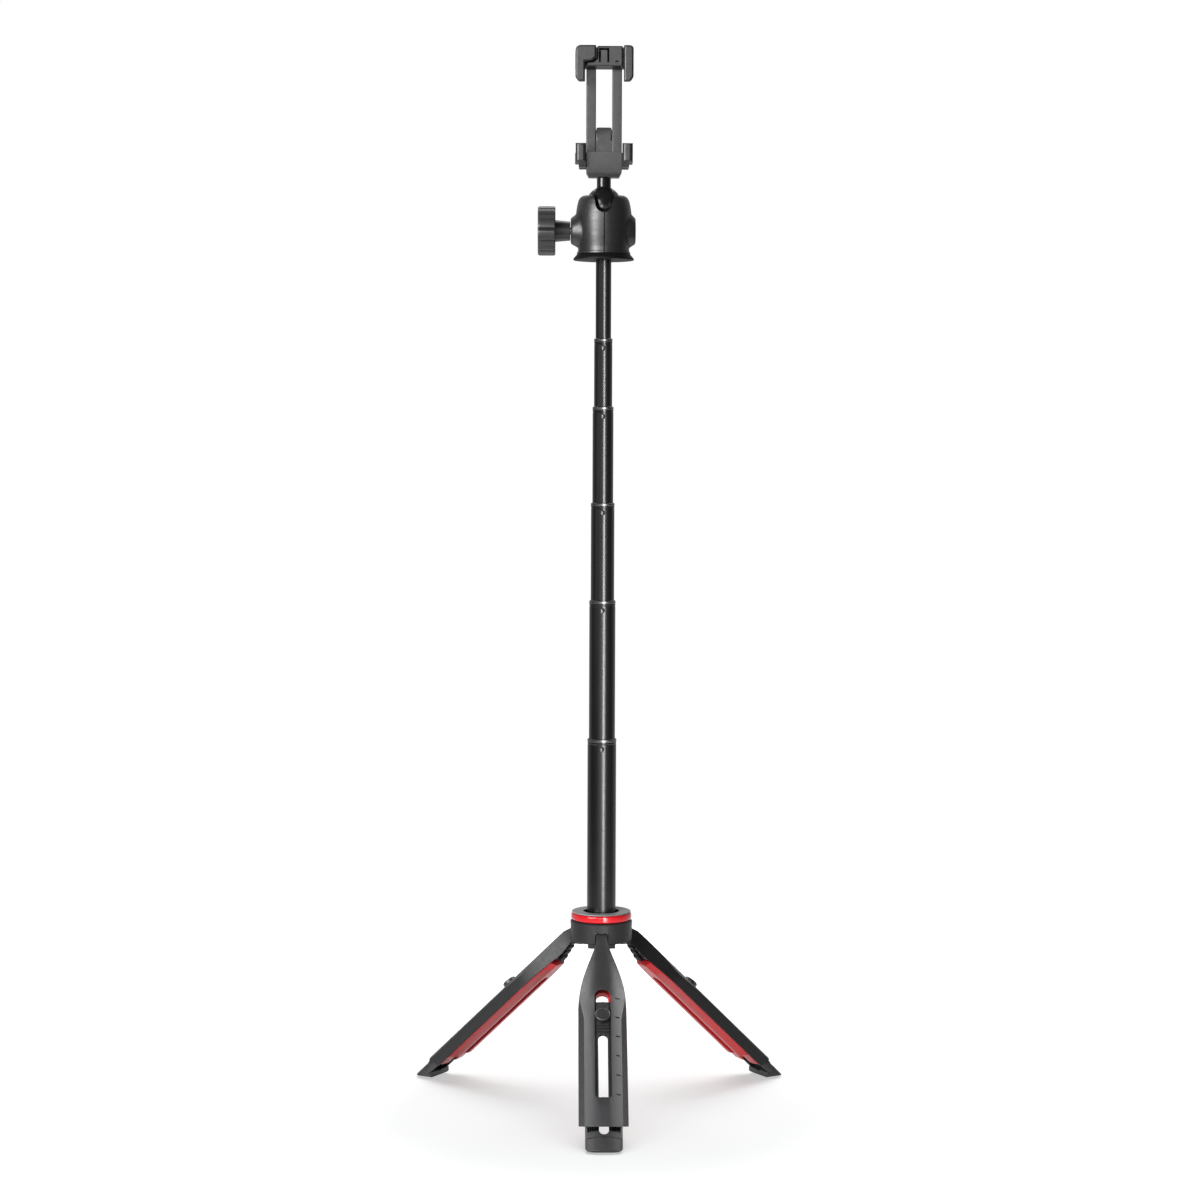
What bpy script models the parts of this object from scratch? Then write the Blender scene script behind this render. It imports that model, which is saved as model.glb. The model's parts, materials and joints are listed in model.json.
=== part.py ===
"""Selfie stick on a folding table tripod, with a ball head and a sprung phone holder.

Metres, +Z up. The soles stand on z = 0, the front leg points to -Y and the origin is the middle of
the footprint. The legs are drawn in their own frame: x across the leg, y outwards from the closed
handle, z up along the leg to its hinge pin.
"""

from math import acos, asin, cos, pi, radians, sin, sqrt, tan, tau

import bmesh
import bpy
from mathutils import Matrix

# Clearances
GAP = 0.0003
SLIDE_FIT = 0.00012
MERGE = 0.000001

# Facets
FINE = 32
ROUND = 20
COARSE = 12
FLARE_STEPS = 8
LUG_STEPS = 5
PROFILE_STEPS = 3
SHARP_ANGLE = radians(32.0)

# Hub
LEG_COUNT = 3
PIN_HEIGHT = 0.130
HUB_RADIUS = 0.02325
HUB_ABOVE_PIN = 0.0075
HUB_BELOW_PIN = 0.0081
HUB_EDGE = 0.0008
COLLAR_WALL = 0.003
WELL_ROOM = 0.0027
WELL_DEPTH = 0.0025
EAR_THICKNESS = 0.00535
EAR_DROP = 0.003
EAR_DEPTH = 0.01175
TRIM_SETBACK = 0.00065
TRIM_HEIGHT = 0.0053
BEZEL_SETBACK = 0.00105
BEZEL_HEIGHT = 0.0008
BOLT_RADIUS = 0.003175
BOLT_HEAD_RADIUS = 0.0055
BOLT_HEAD_HEIGHT = 0.004
BOLT_ENGAGEMENT = 0.006
CAP_RADIUS = 0.0085
CAP_HEIGHT = 0.0015

# Legs; places along a leg are measured from its pin or back from its toe
LEG_SPREAD = radians(47.4)
PIN_SETBACK = 0.00575
PIN_RADIUS = 0.0015
PIN_INSET = 0.00025
NECK_WIDTH = 0.0092
LUG_RADIUS = 0.004
FLARE_START = 0.012
FLARE_END = 0.064
FLARE_POWER = 1.3
LEG_WIDTH = 0.0356
CROWN_HEIGHT = 0.0062
CROWN_RADIUS = 0.03
FLANK_WIDTH = 0.0042
FLANK_RAMP = 0.022
FLANK_LEAD = 0.0065
NECK_FLANK = 0.0005
LEG_GAP = 0.0006
LIP_DEPTH = 0.0065
KNUCKLE_WIDTH = 0.0078
KNUCKLE_RIBS = 4
KNUCKLE_RIB_DEPTH = 0.0009
KNUCKLE_TIP = 0.0012
KNUCKLE_SWEEP = 1.6
SHELL_WALL = 0.0013
SHELL_END_SLANT = radians(33.5)
SHELL_SLOT_START = 0.0552
SHELL_SLOT_FOOT = 0.0247
SHELL_SLOT_CORNER = 0.0022
CAVITY_START = 0.031
LINER_LEAD = 0.003
LINER_SETBACK = 0.0013
LINER_FACE_SETBACK = 0.0135
LINER_RAMP = 0.004
LINER_DEPTH = 0.0103
LINER_FACE_WIDTH = 0.018
LINER_FLANGE_INSET = 0.0012
LINER_STEP = 0.0006
LINER_SLOT_WIDTH = 0.009
LINER_SLOT_START = 0.0505

# Leg extensions, lock buttons and soles
EXTENSION_START = 0.0655
EXTENSION_HEADROOM = 0.0009
EXTENSION_WEB = 0.0037
EXTENSION_FLANGE = 0.0021
EXTENSION_BOTTOM = 0.005
EXTENSION_SHOULDER_WIDTH = 0.0015
EXTENSION_SHOULDER_DROP = 0.0028
EXTENSION_SLOT_WIDTH = 0.0069
EXTENSION_SLOT_WALL = 0.002
EXPOSED_FOOT = 0.0209
TOE_LENGTH = 0.0142
FOOT_LENGTH = 0.0245
FOOT_CORNER = 0.005
SOLE_ROUND = 0.0205
SOLE_SINK = 0.0003
BUTTON_PLACE = 0.0793
BUTTON_RADIUS = 0.0056
BUTTON_PROUD = 0.0025
BUTTON_HEAD = 0.003
BUTTON_STEM_RADIUS = 0.0033
BUTTON_STEM_END = 0.002
BUTTON_EDGE = 0.0006
RIB_COUNT = 3
RIB_PITCH = 0.0026
RIB_WIDTH = 0.0095
RIB_LENGTH = 0.0012
RIB_RISE = 0.0006

# Pole, outermost section first
TUBE_RADIUS = 0.0108
TUBE_STEP = 0.001
TUBE_WALL = 0.0005
EXPOSED = (0.1309, 0.1042, 0.0732, 0.0719, 0.0508, 0.0581)
SECOND_TUBE_LENGTH = 0.124
TUBE_LENGTH_STEP = 0.008
RIM_HEIGHT = 0.0025
RIM_TAPER = 0.0004
RIM_SHOULDER = 0.001
PLUG_FLANGE = 0.003
PLUG_SPIGOT = 0.005
FOOT_PLUG_HEIGHT = 0.008

# Ball head
FLANGE_RADIUS = 0.0226
FLANGE_HEIGHT = 0.0043
FLANGE_EDGE = 0.0012
SPIGOT_RADIUS = 0.0098
SPIGOT_HEIGHT = 0.0062
TUBE_SOCKET_DEPTH = 0.0085
HOUSING_FOOT_RADIUS = 0.0199
HOUSING_WAIST_RADIUS = 0.0191
HOUSING_WAIST_HEIGHT = 0.005
HOUSING_FOOT_LAND = 0.0017
HOUSING_BELLY_RADIUS = 0.0208
HOUSING_BELLY_HEIGHT = 0.0275
HOUSING_TOP_RADIUS = 0.0184
HOUSING_HEIGHT = 0.0427
HOUSING_TOP_ROUND = 0.0025
HOUSING_SEAM = 0.0008
BALL_RADIUS = 0.0133
STEM_RADIUS = 0.00525
STEM_LENGTH = 0.02
THREAD_RADIUS = 0.0031
THREAD_PAST_INSERT = 0.0004
NOTCH_ROOM = 0.00085
NOTCH_FLARE = 0.00215
SEAT_BORE_RADIUS = 0.005
SEAT_RISE = 0.004
SEAT_FLOOR = 0.0012
SCREW_HEIGHT = 0.017
SCREW_RADIUS = 0.003
SCREW_ROOF = 0.0015
BOSS_RADIUS = 0.0093
LEFT_BOSS_REACH = 0.0246
RIGHT_BOSS_REACH = 0.0237
NUT_RADIUS = 0.0062
NUT_LENGTH = 0.005
KNOB_NECK_RADIUS = 0.0071
KNOB_NECK_FOOT_RADIUS = 0.0082
KNOB_FACE_REACH = 0.036
KNOB_RADIUS = 0.0184
KNOB_THICKNESS = 0.0131
KNOB_EDGE = 0.0016
KNOB_LOBES = 12
KNOB_GROOVE = 0.0013
KNOB_POINTS_PER_LOBE = 4

# Phone holder
BLOCK_WIDTH = 0.0263
BLOCK_HEIGHT = 0.0185
BLOCK_DEPTH = 0.016
BLOCK_CHAMFER = 0.0037
LEDGE_ROOF = 0.0007
INSERT_RADIUS = 0.0055
INSERT_LENGTH = 0.0052
FRAME_FRONT = 0.0
FRAME_DEPTH = 0.0072
JAW_WIDTH = 0.043
JAW_REACH = 0.014
FLOOR_THICKNESS = 0.0055
LOWER_LIP_THICKNESS = 0.0034
LOWER_LIP_RISE = 0.0058
WING_DROP = 0.0042
RAIL_WIDTH = 0.0072
RAIL_SPACING = 0.0193
RAIL_INSET = 0.0003
JAW_GAP = 0.0622
CHANNEL_WIDTH = 0.0045
CHANNEL_DEPTH = 0.0042
STOP_HEIGHT = 0.0189
STOP_DEPTH = 0.0055
UPPER_BAR_HEIGHT = 0.0156
COVER_REACH = 0.0095
COVER_STEP = 0.0038
COVER_CORNER = 0.00095
UPPER_FINGER_DROP = 0.0113
UPPER_FINGER_WIDTH = 0.0071
UPPER_FINGER_THICKNESS = 0.0034
LEFT_HOOK_WIDTH = 0.0153
GROOVE_WIDTH = 0.0077
GROOVE_LINE = 0.0009
GROOVE_TOP = 0.004
GROOVE_DEPTH = 0.0012
PRONG_LENGTH = 0.041
PAD_THICKNESS = 0.0012
PAD_INSET = 0.0006
SPRING_RADIUS = 0.0015
SPRING_WIRE = 0.0003
SPRING_TURNS = 6
SPRING_POINTS_PER_TURN = 6

# Sizes and places that follow from the ones above
HUB_BOTTOM = PIN_HEIGHT - HUB_BELOW_PIN
HUB_TOP = PIN_HEIGHT + HUB_ABOVE_PIN
PIN_RADIUS_FROM_AXIS = HUB_RADIUS - PIN_SETBACK
WELL_RADIUS = TUBE_RADIUS + WELL_ROOM
WELL_FLOOR = HUB_TOP - WELL_DEPTH
COLLAR_RADIUS = WELL_RADIUS + COLLAR_WALL
COLLAR_HEIGHT = TRIM_HEIGHT - GAP
TRIM_RADIUS = HUB_RADIUS - TRIM_SETBACK
TRIM_BOTTOM = HUB_TOP + GAP
BEZEL_RADIUS = HUB_RADIUS - BEZEL_SETBACK
BEZEL_BOTTOM = TRIM_BOTTOM + TRIM_HEIGHT + GAP
BEZEL_TOP = BEZEL_BOTTOM + BEZEL_HEIGHT
NECK_SLOT_WIDTH = NECK_WIDTH + 2 * GAP
EAR_WIDTH = NECK_SLOT_WIDTH + 2 * EAR_THICKNESS
EAR_INNER_RADIUS = HUB_RADIUS - EAR_DEPTH
PIN_LENGTH = EAR_WIDTH - 2 * PIN_INSET
POCKET_RADIUS = LUG_RADIUS + GAP
EXTENSION_WIDTH = LEG_WIDTH - 2 * FLANK_WIDTH - 2 * GAP
EXTENSION_TOP = CROWN_HEIGHT - SHELL_WALL - EXTENSION_HEADROOM
SOLE_DEPTH = PIN_RADIUS_FROM_AXIS - (EXTENSION_WIDTH / 2 + LEG_GAP) / tan(pi / LEG_COUNT)
SOLE_CENTRE_OUT = SOLE_ROUND - SOLE_DEPTH
SOLE_CENTRE_HEIGHT = SOLE_ROUND - SOLE_SINK
SOLE_CENTRE_ALONG = (PIN_HEIGHT + SOLE_CENTRE_OUT * sin(LEG_SPREAD) - SOLE_CENTRE_HEIGHT) / cos(LEG_SPREAD)
FOOT_END = SOLE_CENTRE_ALONG + SOLE_ROUND
FOOT_START = FOOT_END - FOOT_LENGTH
EXTENSION_END = FOOT_END - TOE_LENGTH
EXTENSION_SLOT_END = EXTENSION_END - EXTENSION_SLOT_WALL
RIB_START = BUTTON_PLACE + BUTTON_RADIUS + GAP
EXTENSION_SLOT_START = RIB_START + RIB_COUNT * RIB_PITCH
BUTTON_TOP = CROWN_HEIGHT + BUTTON_PROUD
SHELL_SLOT_WIDTH = 2 * (BUTTON_RADIUS + GAP)
SHELL_END = FOOT_END - EXPOSED_FOOT
SHELL_SLOT_END = SHELL_END - SHELL_SLOT_FOOT
LINER_START = CAVITY_START + LINER_LEAD
LINER_TOP = EXTENSION_BOTTOM + 2 * GAP
KNUCKLE_START = HUB_BELOW_PIN + EAR_DROP + 2 * GAP
KNUCKLE_END = CAVITY_START - 2 * GAP
SECTION_TOPS = [BEZEL_TOP + sum(EXPOSED[: index + 1]) for index in range(len(EXPOSED))]
HEAD_BOTTOM = SECTION_TOPS[-1]
HOUSING_BOTTOM = HEAD_BOTTOM + FLANGE_HEIGHT + GAP
SCREW_CENTRE = HOUSING_BOTTOM + SCREW_HEIGHT
BALL_HEIGHT = SCREW_HEIGHT + SCREW_RADIUS + SCREW_ROOF + SEAT_FLOOR + BALL_RADIUS + 2 * GAP
BALL_CENTRE = HOUSING_BOTTOM + BALL_HEIGHT
NOTCH_WIDTH = 2 * (STEM_RADIUS + NOTCH_ROOM)
NOTCH_MOUTH_WIDTH = NOTCH_WIDTH + 2 * NOTCH_FLARE
THREAD_LENGTH = INSERT_LENGTH + THREAD_PAST_INSERT
BLOCK_LEDGE = THREAD_LENGTH + GAP + LEDGE_ROOF
BLOCK_BOTTOM = BALL_CENTRE + STEM_LENGTH
FRAME_BACK = FRAME_FRONT + FRAME_DEPTH

AXIS_ORDER = {
    "X": lambda first, second, along: (along, first, second),
    "Y": lambda first, second, along: (first, along, second),
    "Z": lambda first, second, along: (first, second, along),
}


def clear_scene():
    for item in list(bpy.data.objects):
        bpy.data.objects.remove(item, do_unlink=True)


def finish(name, colour, roughness, metallic=0.0):
    """Material with one Principled BSDF."""
    material = bpy.data.materials.new(name)
    material.use_nodes = True
    shader = material.node_tree.nodes["Principled BSDF"]
    shader.inputs["Base Color"].default_value = (*colour, 1.0)
    shader.inputs["Roughness"].default_value = roughness
    shader.inputs["Metallic"].default_value = metallic
    return material


def arc(centre, radius, start, end, count):
    """Points on a circle from the start angle to the end angle, both included."""
    turns = [start + (end - start) * index / (count - 1) for index in range(count)]
    return [(centre[0] + radius * cos(turn), centre[1] + radius * sin(turn)) for turn in turns]


def circle(centre, radius, count):
    """Points round a circle, with a flat rather than a corner across each axis."""
    start = pi / count
    return arc(centre, radius, start, start + tau, count + 1)[:-1]


def prism(outline, low, high, axis):
    """Solid with a flat outline in the two other axes, from low to high along the axis."""
    corner = AXIS_ORDER[axis]
    shape = bmesh.new()
    base = shape.faces.new([shape.verts.new(corner(first, second, low)) for first, second in outline])
    grown = bmesh.ops.extrude_face_region(shape, geom=[base], use_keep_orig=True)
    far = [item for item in grown["geom"] if isinstance(item, bmesh.types.BMVert)]
    bmesh.ops.translate(shape, verts=far, vec=corner(0.0, 0.0, high - low))
    return shape


def block(low, high):
    """Box between two corners."""
    outline = [(low[0], low[1]), (high[0], low[1]), (high[0], high[1]), (low[0], high[1])]
    return prism(outline, low[2], high[2], "Z")


def spun(profile, segments):
    """Solid turned about Z from a closed section of (radius, height) points."""
    shape = bmesh.new()
    points = [shape.verts.new((radius, 0.0, height)) for radius, height in profile]
    edges = []
    for first, second in zip(points, points[1:] + points[:1]):
        if max(first.co.x, second.co.x) > MERGE:
            edges.append(shape.edges.new((first, second)))
    bmesh.ops.spin(shape, geom=points + edges, cent=(0.0, 0.0, 0.0), axis=(0.0, 0.0, 1.0),
                   angle=tau, steps=segments, use_merge=True)
    bmesh.ops.remove_doubles(shape, verts=shape.verts[:], dist=MERGE)
    return shape


def loft(rings):
    """Skin through rings that have the same number of points, closed at both ends."""
    shape = bmesh.new()
    rows = [[shape.verts.new(point) for point in ring] for ring in rings]
    for row, after in zip(rows, rows[1:]):
        for index in range(len(row)):
            shape.faces.new((row[index - 1], row[index], after[index], after[index - 1]))
    shape.faces.new(rows[0])
    shape.faces.new(rows[-1])
    return shape


def capsule(width, start, end, corner=None):
    """Outline of a slot across x from -start to -end along z: round above, corners rounded below."""
    radius = width / 2
    if corner is None:
        corner = radius
    upper = arc((0.0, -start - radius), radius, 0.0, pi, COARSE)
    left = arc((corner - radius, corner - end), corner, pi, 1.5 * pi, COARSE // 2)
    right = arc((radius - corner, corner - end), corner, 1.5 * pi, tau, COARSE // 2)
    if corner == radius:
        right = right[1:]
    return upper + left + right


def mesh_of(shape, name):
    bmesh.ops.recalc_face_normals(shape, faces=shape.faces[:])
    mesh = bpy.data.meshes.new(name)
    shape.to_mesh(mesh)
    shape.free()
    return mesh


def carved(name, base, *steps):
    """Mesh of a base shape after its Boolean steps, each an operation and a tool shape."""
    scene_objects = bpy.context.scene.collection.objects
    body = bpy.data.objects.new(name, mesh_of(base, name))
    scene_objects.link(body)
    tools = []
    for operation, shape in steps:
        tool = bpy.data.objects.new(name + "_tool", mesh_of(shape, name + "_tool"))
        scene_objects.link(tool)
        change = body.modifiers.new(operation.title(), "BOOLEAN")
        change.operation = operation
        change.solver = "EXACT"
        change.object = tool
        tools.append(tool)
    graph = bpy.context.evaluated_depsgraph_get()
    mesh = bpy.data.meshes.new_from_object(body.evaluated_get(graph))
    for item in [body] + tools:
        bpy.data.objects.remove(item, do_unlink=True)
    shape = bmesh.new()
    shape.from_mesh(mesh)
    bmesh.ops.remove_doubles(shape, verts=shape.verts[:], dist=MERGE)
    bmesh.ops.dissolve_degenerate(shape, dist=MERGE, edges=shape.edges[:])
    return mesh_of(shape, name)


def place(name, mesh, material, parent, location=(0.0, 0.0, 0.0), rotation=(0.0, 0.0, 0.0)):
    """Named object of the assembly, smooth but for its real edges."""
    if isinstance(mesh, bmesh.types.BMesh):
        mesh = mesh_of(mesh, name)
    mesh.name = name
    mesh.materials.clear()
    mesh.materials.append(material)
    mesh.shade_smooth()
    mesh.set_sharp_from_angle(angle=SHARP_ANGLE)
    item = bpy.data.objects.new(name, mesh)
    bpy.context.scene.collection.objects.link(item)
    item.parent = parent
    item.location = location
    item.rotation_euler = rotation
    return item


def empty(name, parent=None, location=(0.0, 0.0, 0.0), rotation=(0.0, 0.0, 0.0)):
    marker = bpy.data.objects.new(name, None)
    bpy.context.scene.collection.objects.link(marker)
    marker.parent = parent
    marker.location = location
    marker.rotation_euler = rotation
    return marker


def leg_headings():
    """Angle of each leg about the pole, the front one first."""
    return [-pi / 2 + tau * index / LEG_COUNT for index in range(LEG_COUNT)]


def turned_about_pole(shape, heading):
    """Shape drawn with y outwards, turned to a leg's heading."""
    turn = Matrix.Rotation(heading - pi / 2, 3, "Z")
    bmesh.ops.rotate(shape, verts=shape.verts[:], cent=(0.0, 0.0, 0.0), matrix=turn)
    return shape


# Hub

def hub_slot():
    """Cut for a leg's neck, whose upper edge stops the open leg."""
    reach = HUB_RADIUS
    drop = HUB_BELOW_PIN + 2 * EAR_DROP
    pin = (PIN_RADIUS_FROM_AXIS, PIN_HEIGHT)
    over = arc(pin, POCKET_RADIUS, pi, LEG_SPREAD, COARSE // 2 + 2)
    stop = (over[-1][0] + reach * sin(LEG_SPREAD), over[-1][1] - reach * cos(LEG_SPREAD))
    foot = [(stop[0], PIN_HEIGHT - drop - reach), (pin[0] - POCKET_RADIUS, PIN_HEIGHT - drop - reach)]
    return prism(over + [stop] + foot, -NECK_SLOT_WIDTH / 2, NECK_SLOT_WIDTH / 2, "X")


def hub_ear():
    """Pair of lugs beside a leg's neck, following the hub's round side."""
    half = EAR_WIDTH / 2
    radius = HUB_RADIUS - HUB_EDGE
    swing = asin(half / radius)
    rim = arc((0.0, 0.0), radius, pi / 2 - swing, pi / 2 + swing, COARSE // 2)
    outline = rim + [(-half, EAR_INNER_RADIUS), (half, EAR_INNER_RADIUS)]
    return prism(outline, HUB_BOTTOM - EAR_DROP, PIN_HEIGHT, "Z")


def pin_hole():
    outline = circle((PIN_RADIUS_FROM_AXIS, PIN_HEIGHT), PIN_RADIUS + GAP, COARSE)
    half = PIN_LENGTH / 2 + GAP
    return prism(outline, -half, half, "X")


def hub_body():
    hole = BOLT_RADIUS + GAP
    counterbore = BOLT_HEAD_RADIUS + GAP
    head_seat = HUB_BOTTOM + CAP_HEIGHT + BOLT_HEAD_HEIGHT + 2 * GAP
    cap_seat = HUB_BOTTOM + CAP_HEIGHT + GAP
    profile = [
        (CAP_RADIUS + GAP, HUB_BOTTOM),
        (HUB_RADIUS - HUB_EDGE, HUB_BOTTOM),
        (HUB_RADIUS, HUB_BOTTOM + HUB_EDGE),
        (HUB_RADIUS, HUB_TOP - HUB_EDGE),
        (HUB_RADIUS - HUB_EDGE, HUB_TOP),
        (COLLAR_RADIUS, HUB_TOP),
        (COLLAR_RADIUS, HUB_TOP + COLLAR_HEIGHT),
        (WELL_RADIUS, HUB_TOP + COLLAR_HEIGHT),
        (WELL_RADIUS, WELL_FLOOR),
        (hole, WELL_FLOOR),
        (hole, head_seat),
        (counterbore, head_seat),
        (counterbore, cap_seat),
        (CAP_RADIUS + GAP, cap_seat),
    ]
    steps = []
    for heading in leg_headings():
        steps.append(("UNION", turned_about_pole(hub_ear(), heading)))
    for heading in leg_headings():
        steps.append(("DIFFERENCE", turned_about_pole(hub_slot(), heading)))
        steps.append(("DIFFERENCE", turned_about_pole(pin_hole(), heading)))
    return carved("hub_body", spun(profile, FINE), *steps)


def ring(inner, outer, bottom, top, edge, segments=FINE):
    """Flat ring with its outer edges broken."""
    profile = [
        (inner, bottom),
        (outer - edge, bottom),
        (outer, bottom + edge),
        (outer, top - edge),
        (outer - edge, top),
        (inner, top),
    ]
    return spun(profile, segments)


def hub_bolt():
    base = HUB_BOTTOM + CAP_HEIGHT + GAP
    seat = base + BOLT_HEAD_HEIGHT
    tip = WELL_FLOOR + BOLT_ENGAGEMENT
    profile = [
        (0.0, base),
        (BOLT_HEAD_RADIUS, base),
        (BOLT_HEAD_RADIUS, seat),
        (BOLT_RADIUS, seat),
        (BOLT_RADIUS, tip),
        (0.0, tip),
    ]
    return spun(profile, COARSE)


def build_hub(root, finishes):
    place("hub_body", hub_body(), finishes["moulded"], root)
    trim = ring(COLLAR_RADIUS + GAP, TRIM_RADIUS, TRIM_BOTTOM, TRIM_BOTTOM + TRIM_HEIGHT, HUB_EDGE)
    place("hub_trim_ring", trim, finishes["red_gloss"], root)
    bezel = spun([(WELL_RADIUS, BEZEL_BOTTOM), (BEZEL_RADIUS, BEZEL_BOTTOM), (BEZEL_RADIUS, BEZEL_TOP),
                  (WELL_RADIUS, BEZEL_TOP)], FINE)
    place("hub_bezel", bezel, finishes["bezel"], root)
    place("hub_bolt", hub_bolt(), finishes["steel"], root)
    cap = spun([(0.0, HUB_BOTTOM), (CAP_RADIUS, HUB_BOTTOM), (CAP_RADIUS, HUB_BOTTOM + CAP_HEIGHT),
                (0.0, HUB_BOTTOM + CAP_HEIGHT)], ROUND)
    place("hub_floor_cap", cap, finishes["moulded"], root)


# Legs

def flare(place_along):
    """0 in the neck and 1 where the leg has its full width."""
    share = (place_along - FLARE_START) / (FLARE_END - FLARE_START)
    return sin(pi / 2 * min(max(share, 0.0), 1.0)) ** FLARE_POWER


def half_width(place_along):
    return (NECK_WIDTH + (LEG_WIDTH - NECK_WIDTH) * flare(place_along)) / 2


def crown_edge(place_along):
    """Half width of the rounded top; the sloping flanks open out below the shoulder."""
    share = (place_along - FLARE_END + FLANK_LEAD) / FLANK_RAMP
    flank = NECK_FLANK + (FLANK_WIDTH - NECK_FLANK) * min(max(share, 0.0), 1.0)
    return half_width(place_along) - flank


def crown(across, top):
    return top - CROWN_RADIUS + sqrt(CROWN_RADIUS ** 2 - across ** 2)


def lip(place_along):
    """Lower edge of the flank, which keeps to the leg's third of the closed handle."""
    wedge = (half_width(place_along) + LEG_GAP) / tan(pi / LEG_COUNT) - PIN_RADIUS_FROM_AXIS
    share = min(max((place_along - FLARE_START) / FLARE_START, 0.0), 1.0)
    neck = -LUG_RADIUS - (LIP_DEPTH - LUG_RADIUS) * share
    return max(wedge, neck)


def crown_points(edge, top, count=7):
    shares = [1.0 - 2.0 * index / (count - 1) for index in range(count)]
    return [(edge * share, crown(edge * share, top)) for share in shares]


def crown_top(place_along):
    """Height of the crown over the pin's axis: that of the lug inside the hub, then rising."""
    rise = (place_along - LUG_RADIUS) / (FLARE_START - LUG_RADIUS)
    return LUG_RADIUS + (CROWN_HEIGHT - LUG_RADIUS) * min(max(rise, 0.0), 1.0)


def shell_ring(place_along):
    """Section of the solid leg: the crown and its two flanks."""
    if place_along < 0.0:
        top = sqrt(LUG_RADIUS ** 2 - place_along ** 2)
        low = -top
    else:
        top = crown_top(place_along)
        low = lip(place_along)
    half = half_width(place_along)
    outline = [(-half, low), (half, low)] + crown_points(crown_edge(place_along), top)
    return [(across, out, -place_along) for across, out in outline]


def slanted(ring):
    """End ring of the shell, leaning back below the crown."""
    lean = tan(SHELL_END_SLANT)
    return [(across, out, along + lean * (CROWN_HEIGHT - out)) for across, out, along in ring]


def inner_flank(place_along, out):
    """Half width between the flanks' inner faces at a height across the leg."""
    edge = crown_edge(place_along)
    top = crown(edge, CROWN_HEIGHT)
    low = lip(place_along)
    run = half_width(place_along) - edge
    fall = top - low
    length = sqrt(run ** 2 + fall ** 2)
    start = edge - SHELL_WALL * fall / length
    start_out = top - SHELL_WALL * run / length
    return start + (start_out - out) * run / fall


def cavity_ring(place_along):
    ceiling = CROWN_HEIGHT - SHELL_WALL
    shoulder = crown(crown_edge(place_along), ceiling)
    below = lip(place_along) - SHELL_WALL
    wide = inner_flank(place_along, below)
    edge = inner_flank(place_along, shoulder)
    outline = [(-wide, below), (wide, below)] + crown_points(edge, ceiling)
    return [(across, out, -place_along) for across, out in outline]


def flare_stations(start, end):
    """Places along the leg, closer together where it flares, and where its flanks have opened out."""
    run = (FLARE_END - FLARE_START) / FLARE_STEPS
    stations = [FLARE_START + run * index for index in range(FLARE_STEPS + 1)]
    stations.append(FLARE_END - FLANK_LEAD + FLANK_RAMP)
    return [start] + [station for station in stations if start < station < end] + [end]


def leg_shell():
    lug = [-LUG_RADIUS * cos(pi / 2 * index / LUG_STEPS) for index in range(1, LUG_STEPS + 1)]
    rings = [shell_ring(station) for station in lug + [LUG_RADIUS] + flare_stations(FLARE_START, SHELL_END)]
    rings[-1] = slanted(rings[-1])
    past_end = SHELL_END + SHELL_WALL
    cavity = loft([cavity_ring(station) for station in flare_stations(CAVITY_START, past_end)])
    outline = capsule(SHELL_SLOT_WIDTH, SHELL_SLOT_START, SHELL_SLOT_END, SHELL_SLOT_CORNER)
    slot = prism(outline, 0.0, 2 * CROWN_HEIGHT, "Y")
    hole = prism(circle((0.0, 0.0), PIN_RADIUS + GAP, COARSE), -NECK_WIDTH, NECK_WIDTH, "X")
    return carved("leg_shell", loft(rings), ("DIFFERENCE", cavity), ("DIFFERENCE", slot), ("DIFFERENCE", hole))


def liner_ring(place_along, depth):
    edge = lip(place_along)
    foot = min(-depth, edge - GAP - LINER_STEP)
    share = half_width(place_along) / (LEG_WIDTH / 2)
    right = [
        (inner_flank(place_along, -LINER_TOP) - GAP, -LINER_TOP),
        (inner_flank(place_along, edge) - GAP, edge),
        (half_width(place_along) - LINER_FLANGE_INSET, edge - GAP),
        (LINER_FACE_WIDTH / 2 * share, foot),
    ]
    left = [(-across, out) for across, out in reversed(right)]
    return [(across, out, -place_along) for across, out in right + left]


def leg_liner():
    """Trough inside the shell, whose deep face stops short of its end."""
    shell_low_end = SHELL_END - tan(SHELL_END_SLANT) * (CROWN_HEIGHT - lip(SHELL_END))
    end = shell_low_end - LINER_SETBACK
    face_end = end - LINER_FACE_SETBACK
    stations = flare_stations(LINER_START, face_end)
    rings = [liner_ring(station, LINER_DEPTH) for station in stations]
    rings.append(liner_ring(face_end + LINER_RAMP, 0.0))
    rings.append(liner_ring(end, 0.0))
    slot = capsule(LINER_SLOT_WIDTH, LINER_SLOT_START, end + LINER_SLOT_WIDTH)
    return carved("leg_liner", loft(rings), ("DIFFERENCE", prism(slot, -2 * LIP_DEPTH, 0.0, "Y")))


def floor_out(place_along, height=0.0):
    """Distance across the open leg at which the height above the floor is reached."""
    return (place_along * cos(LEG_SPREAD) - PIN_HEIGHT + height) / sin(LEG_SPREAD)


def foot_plan():
    """Plan of a foot, round-cornered at the toe."""
    half = EXTENSION_WIDTH / 2
    radius = FOOT_CORNER
    right = arc((half - radius, radius - FOOT_END), radius, 0.0, -pi / 2, COARSE // 2)
    left = arc((radius - half, radius - FOOT_END), radius, -pi / 2, -pi, COARSE // 2)
    return [(-half, -FOOT_START), (half, -FOOT_START)] + right + left


def bar_top():
    """Rounded top and sloped shoulders of an extension, from right to left."""
    half = EXTENSION_WIDTH / 2
    shoulder = half - EXTENSION_SHOULDER_WIDTH
    drop = crown(shoulder, EXTENSION_TOP) - EXTENSION_SHOULDER_DROP
    return [(half, drop)] + crown_points(shoulder, EXTENSION_TOP) + [(-half, drop)]


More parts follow.
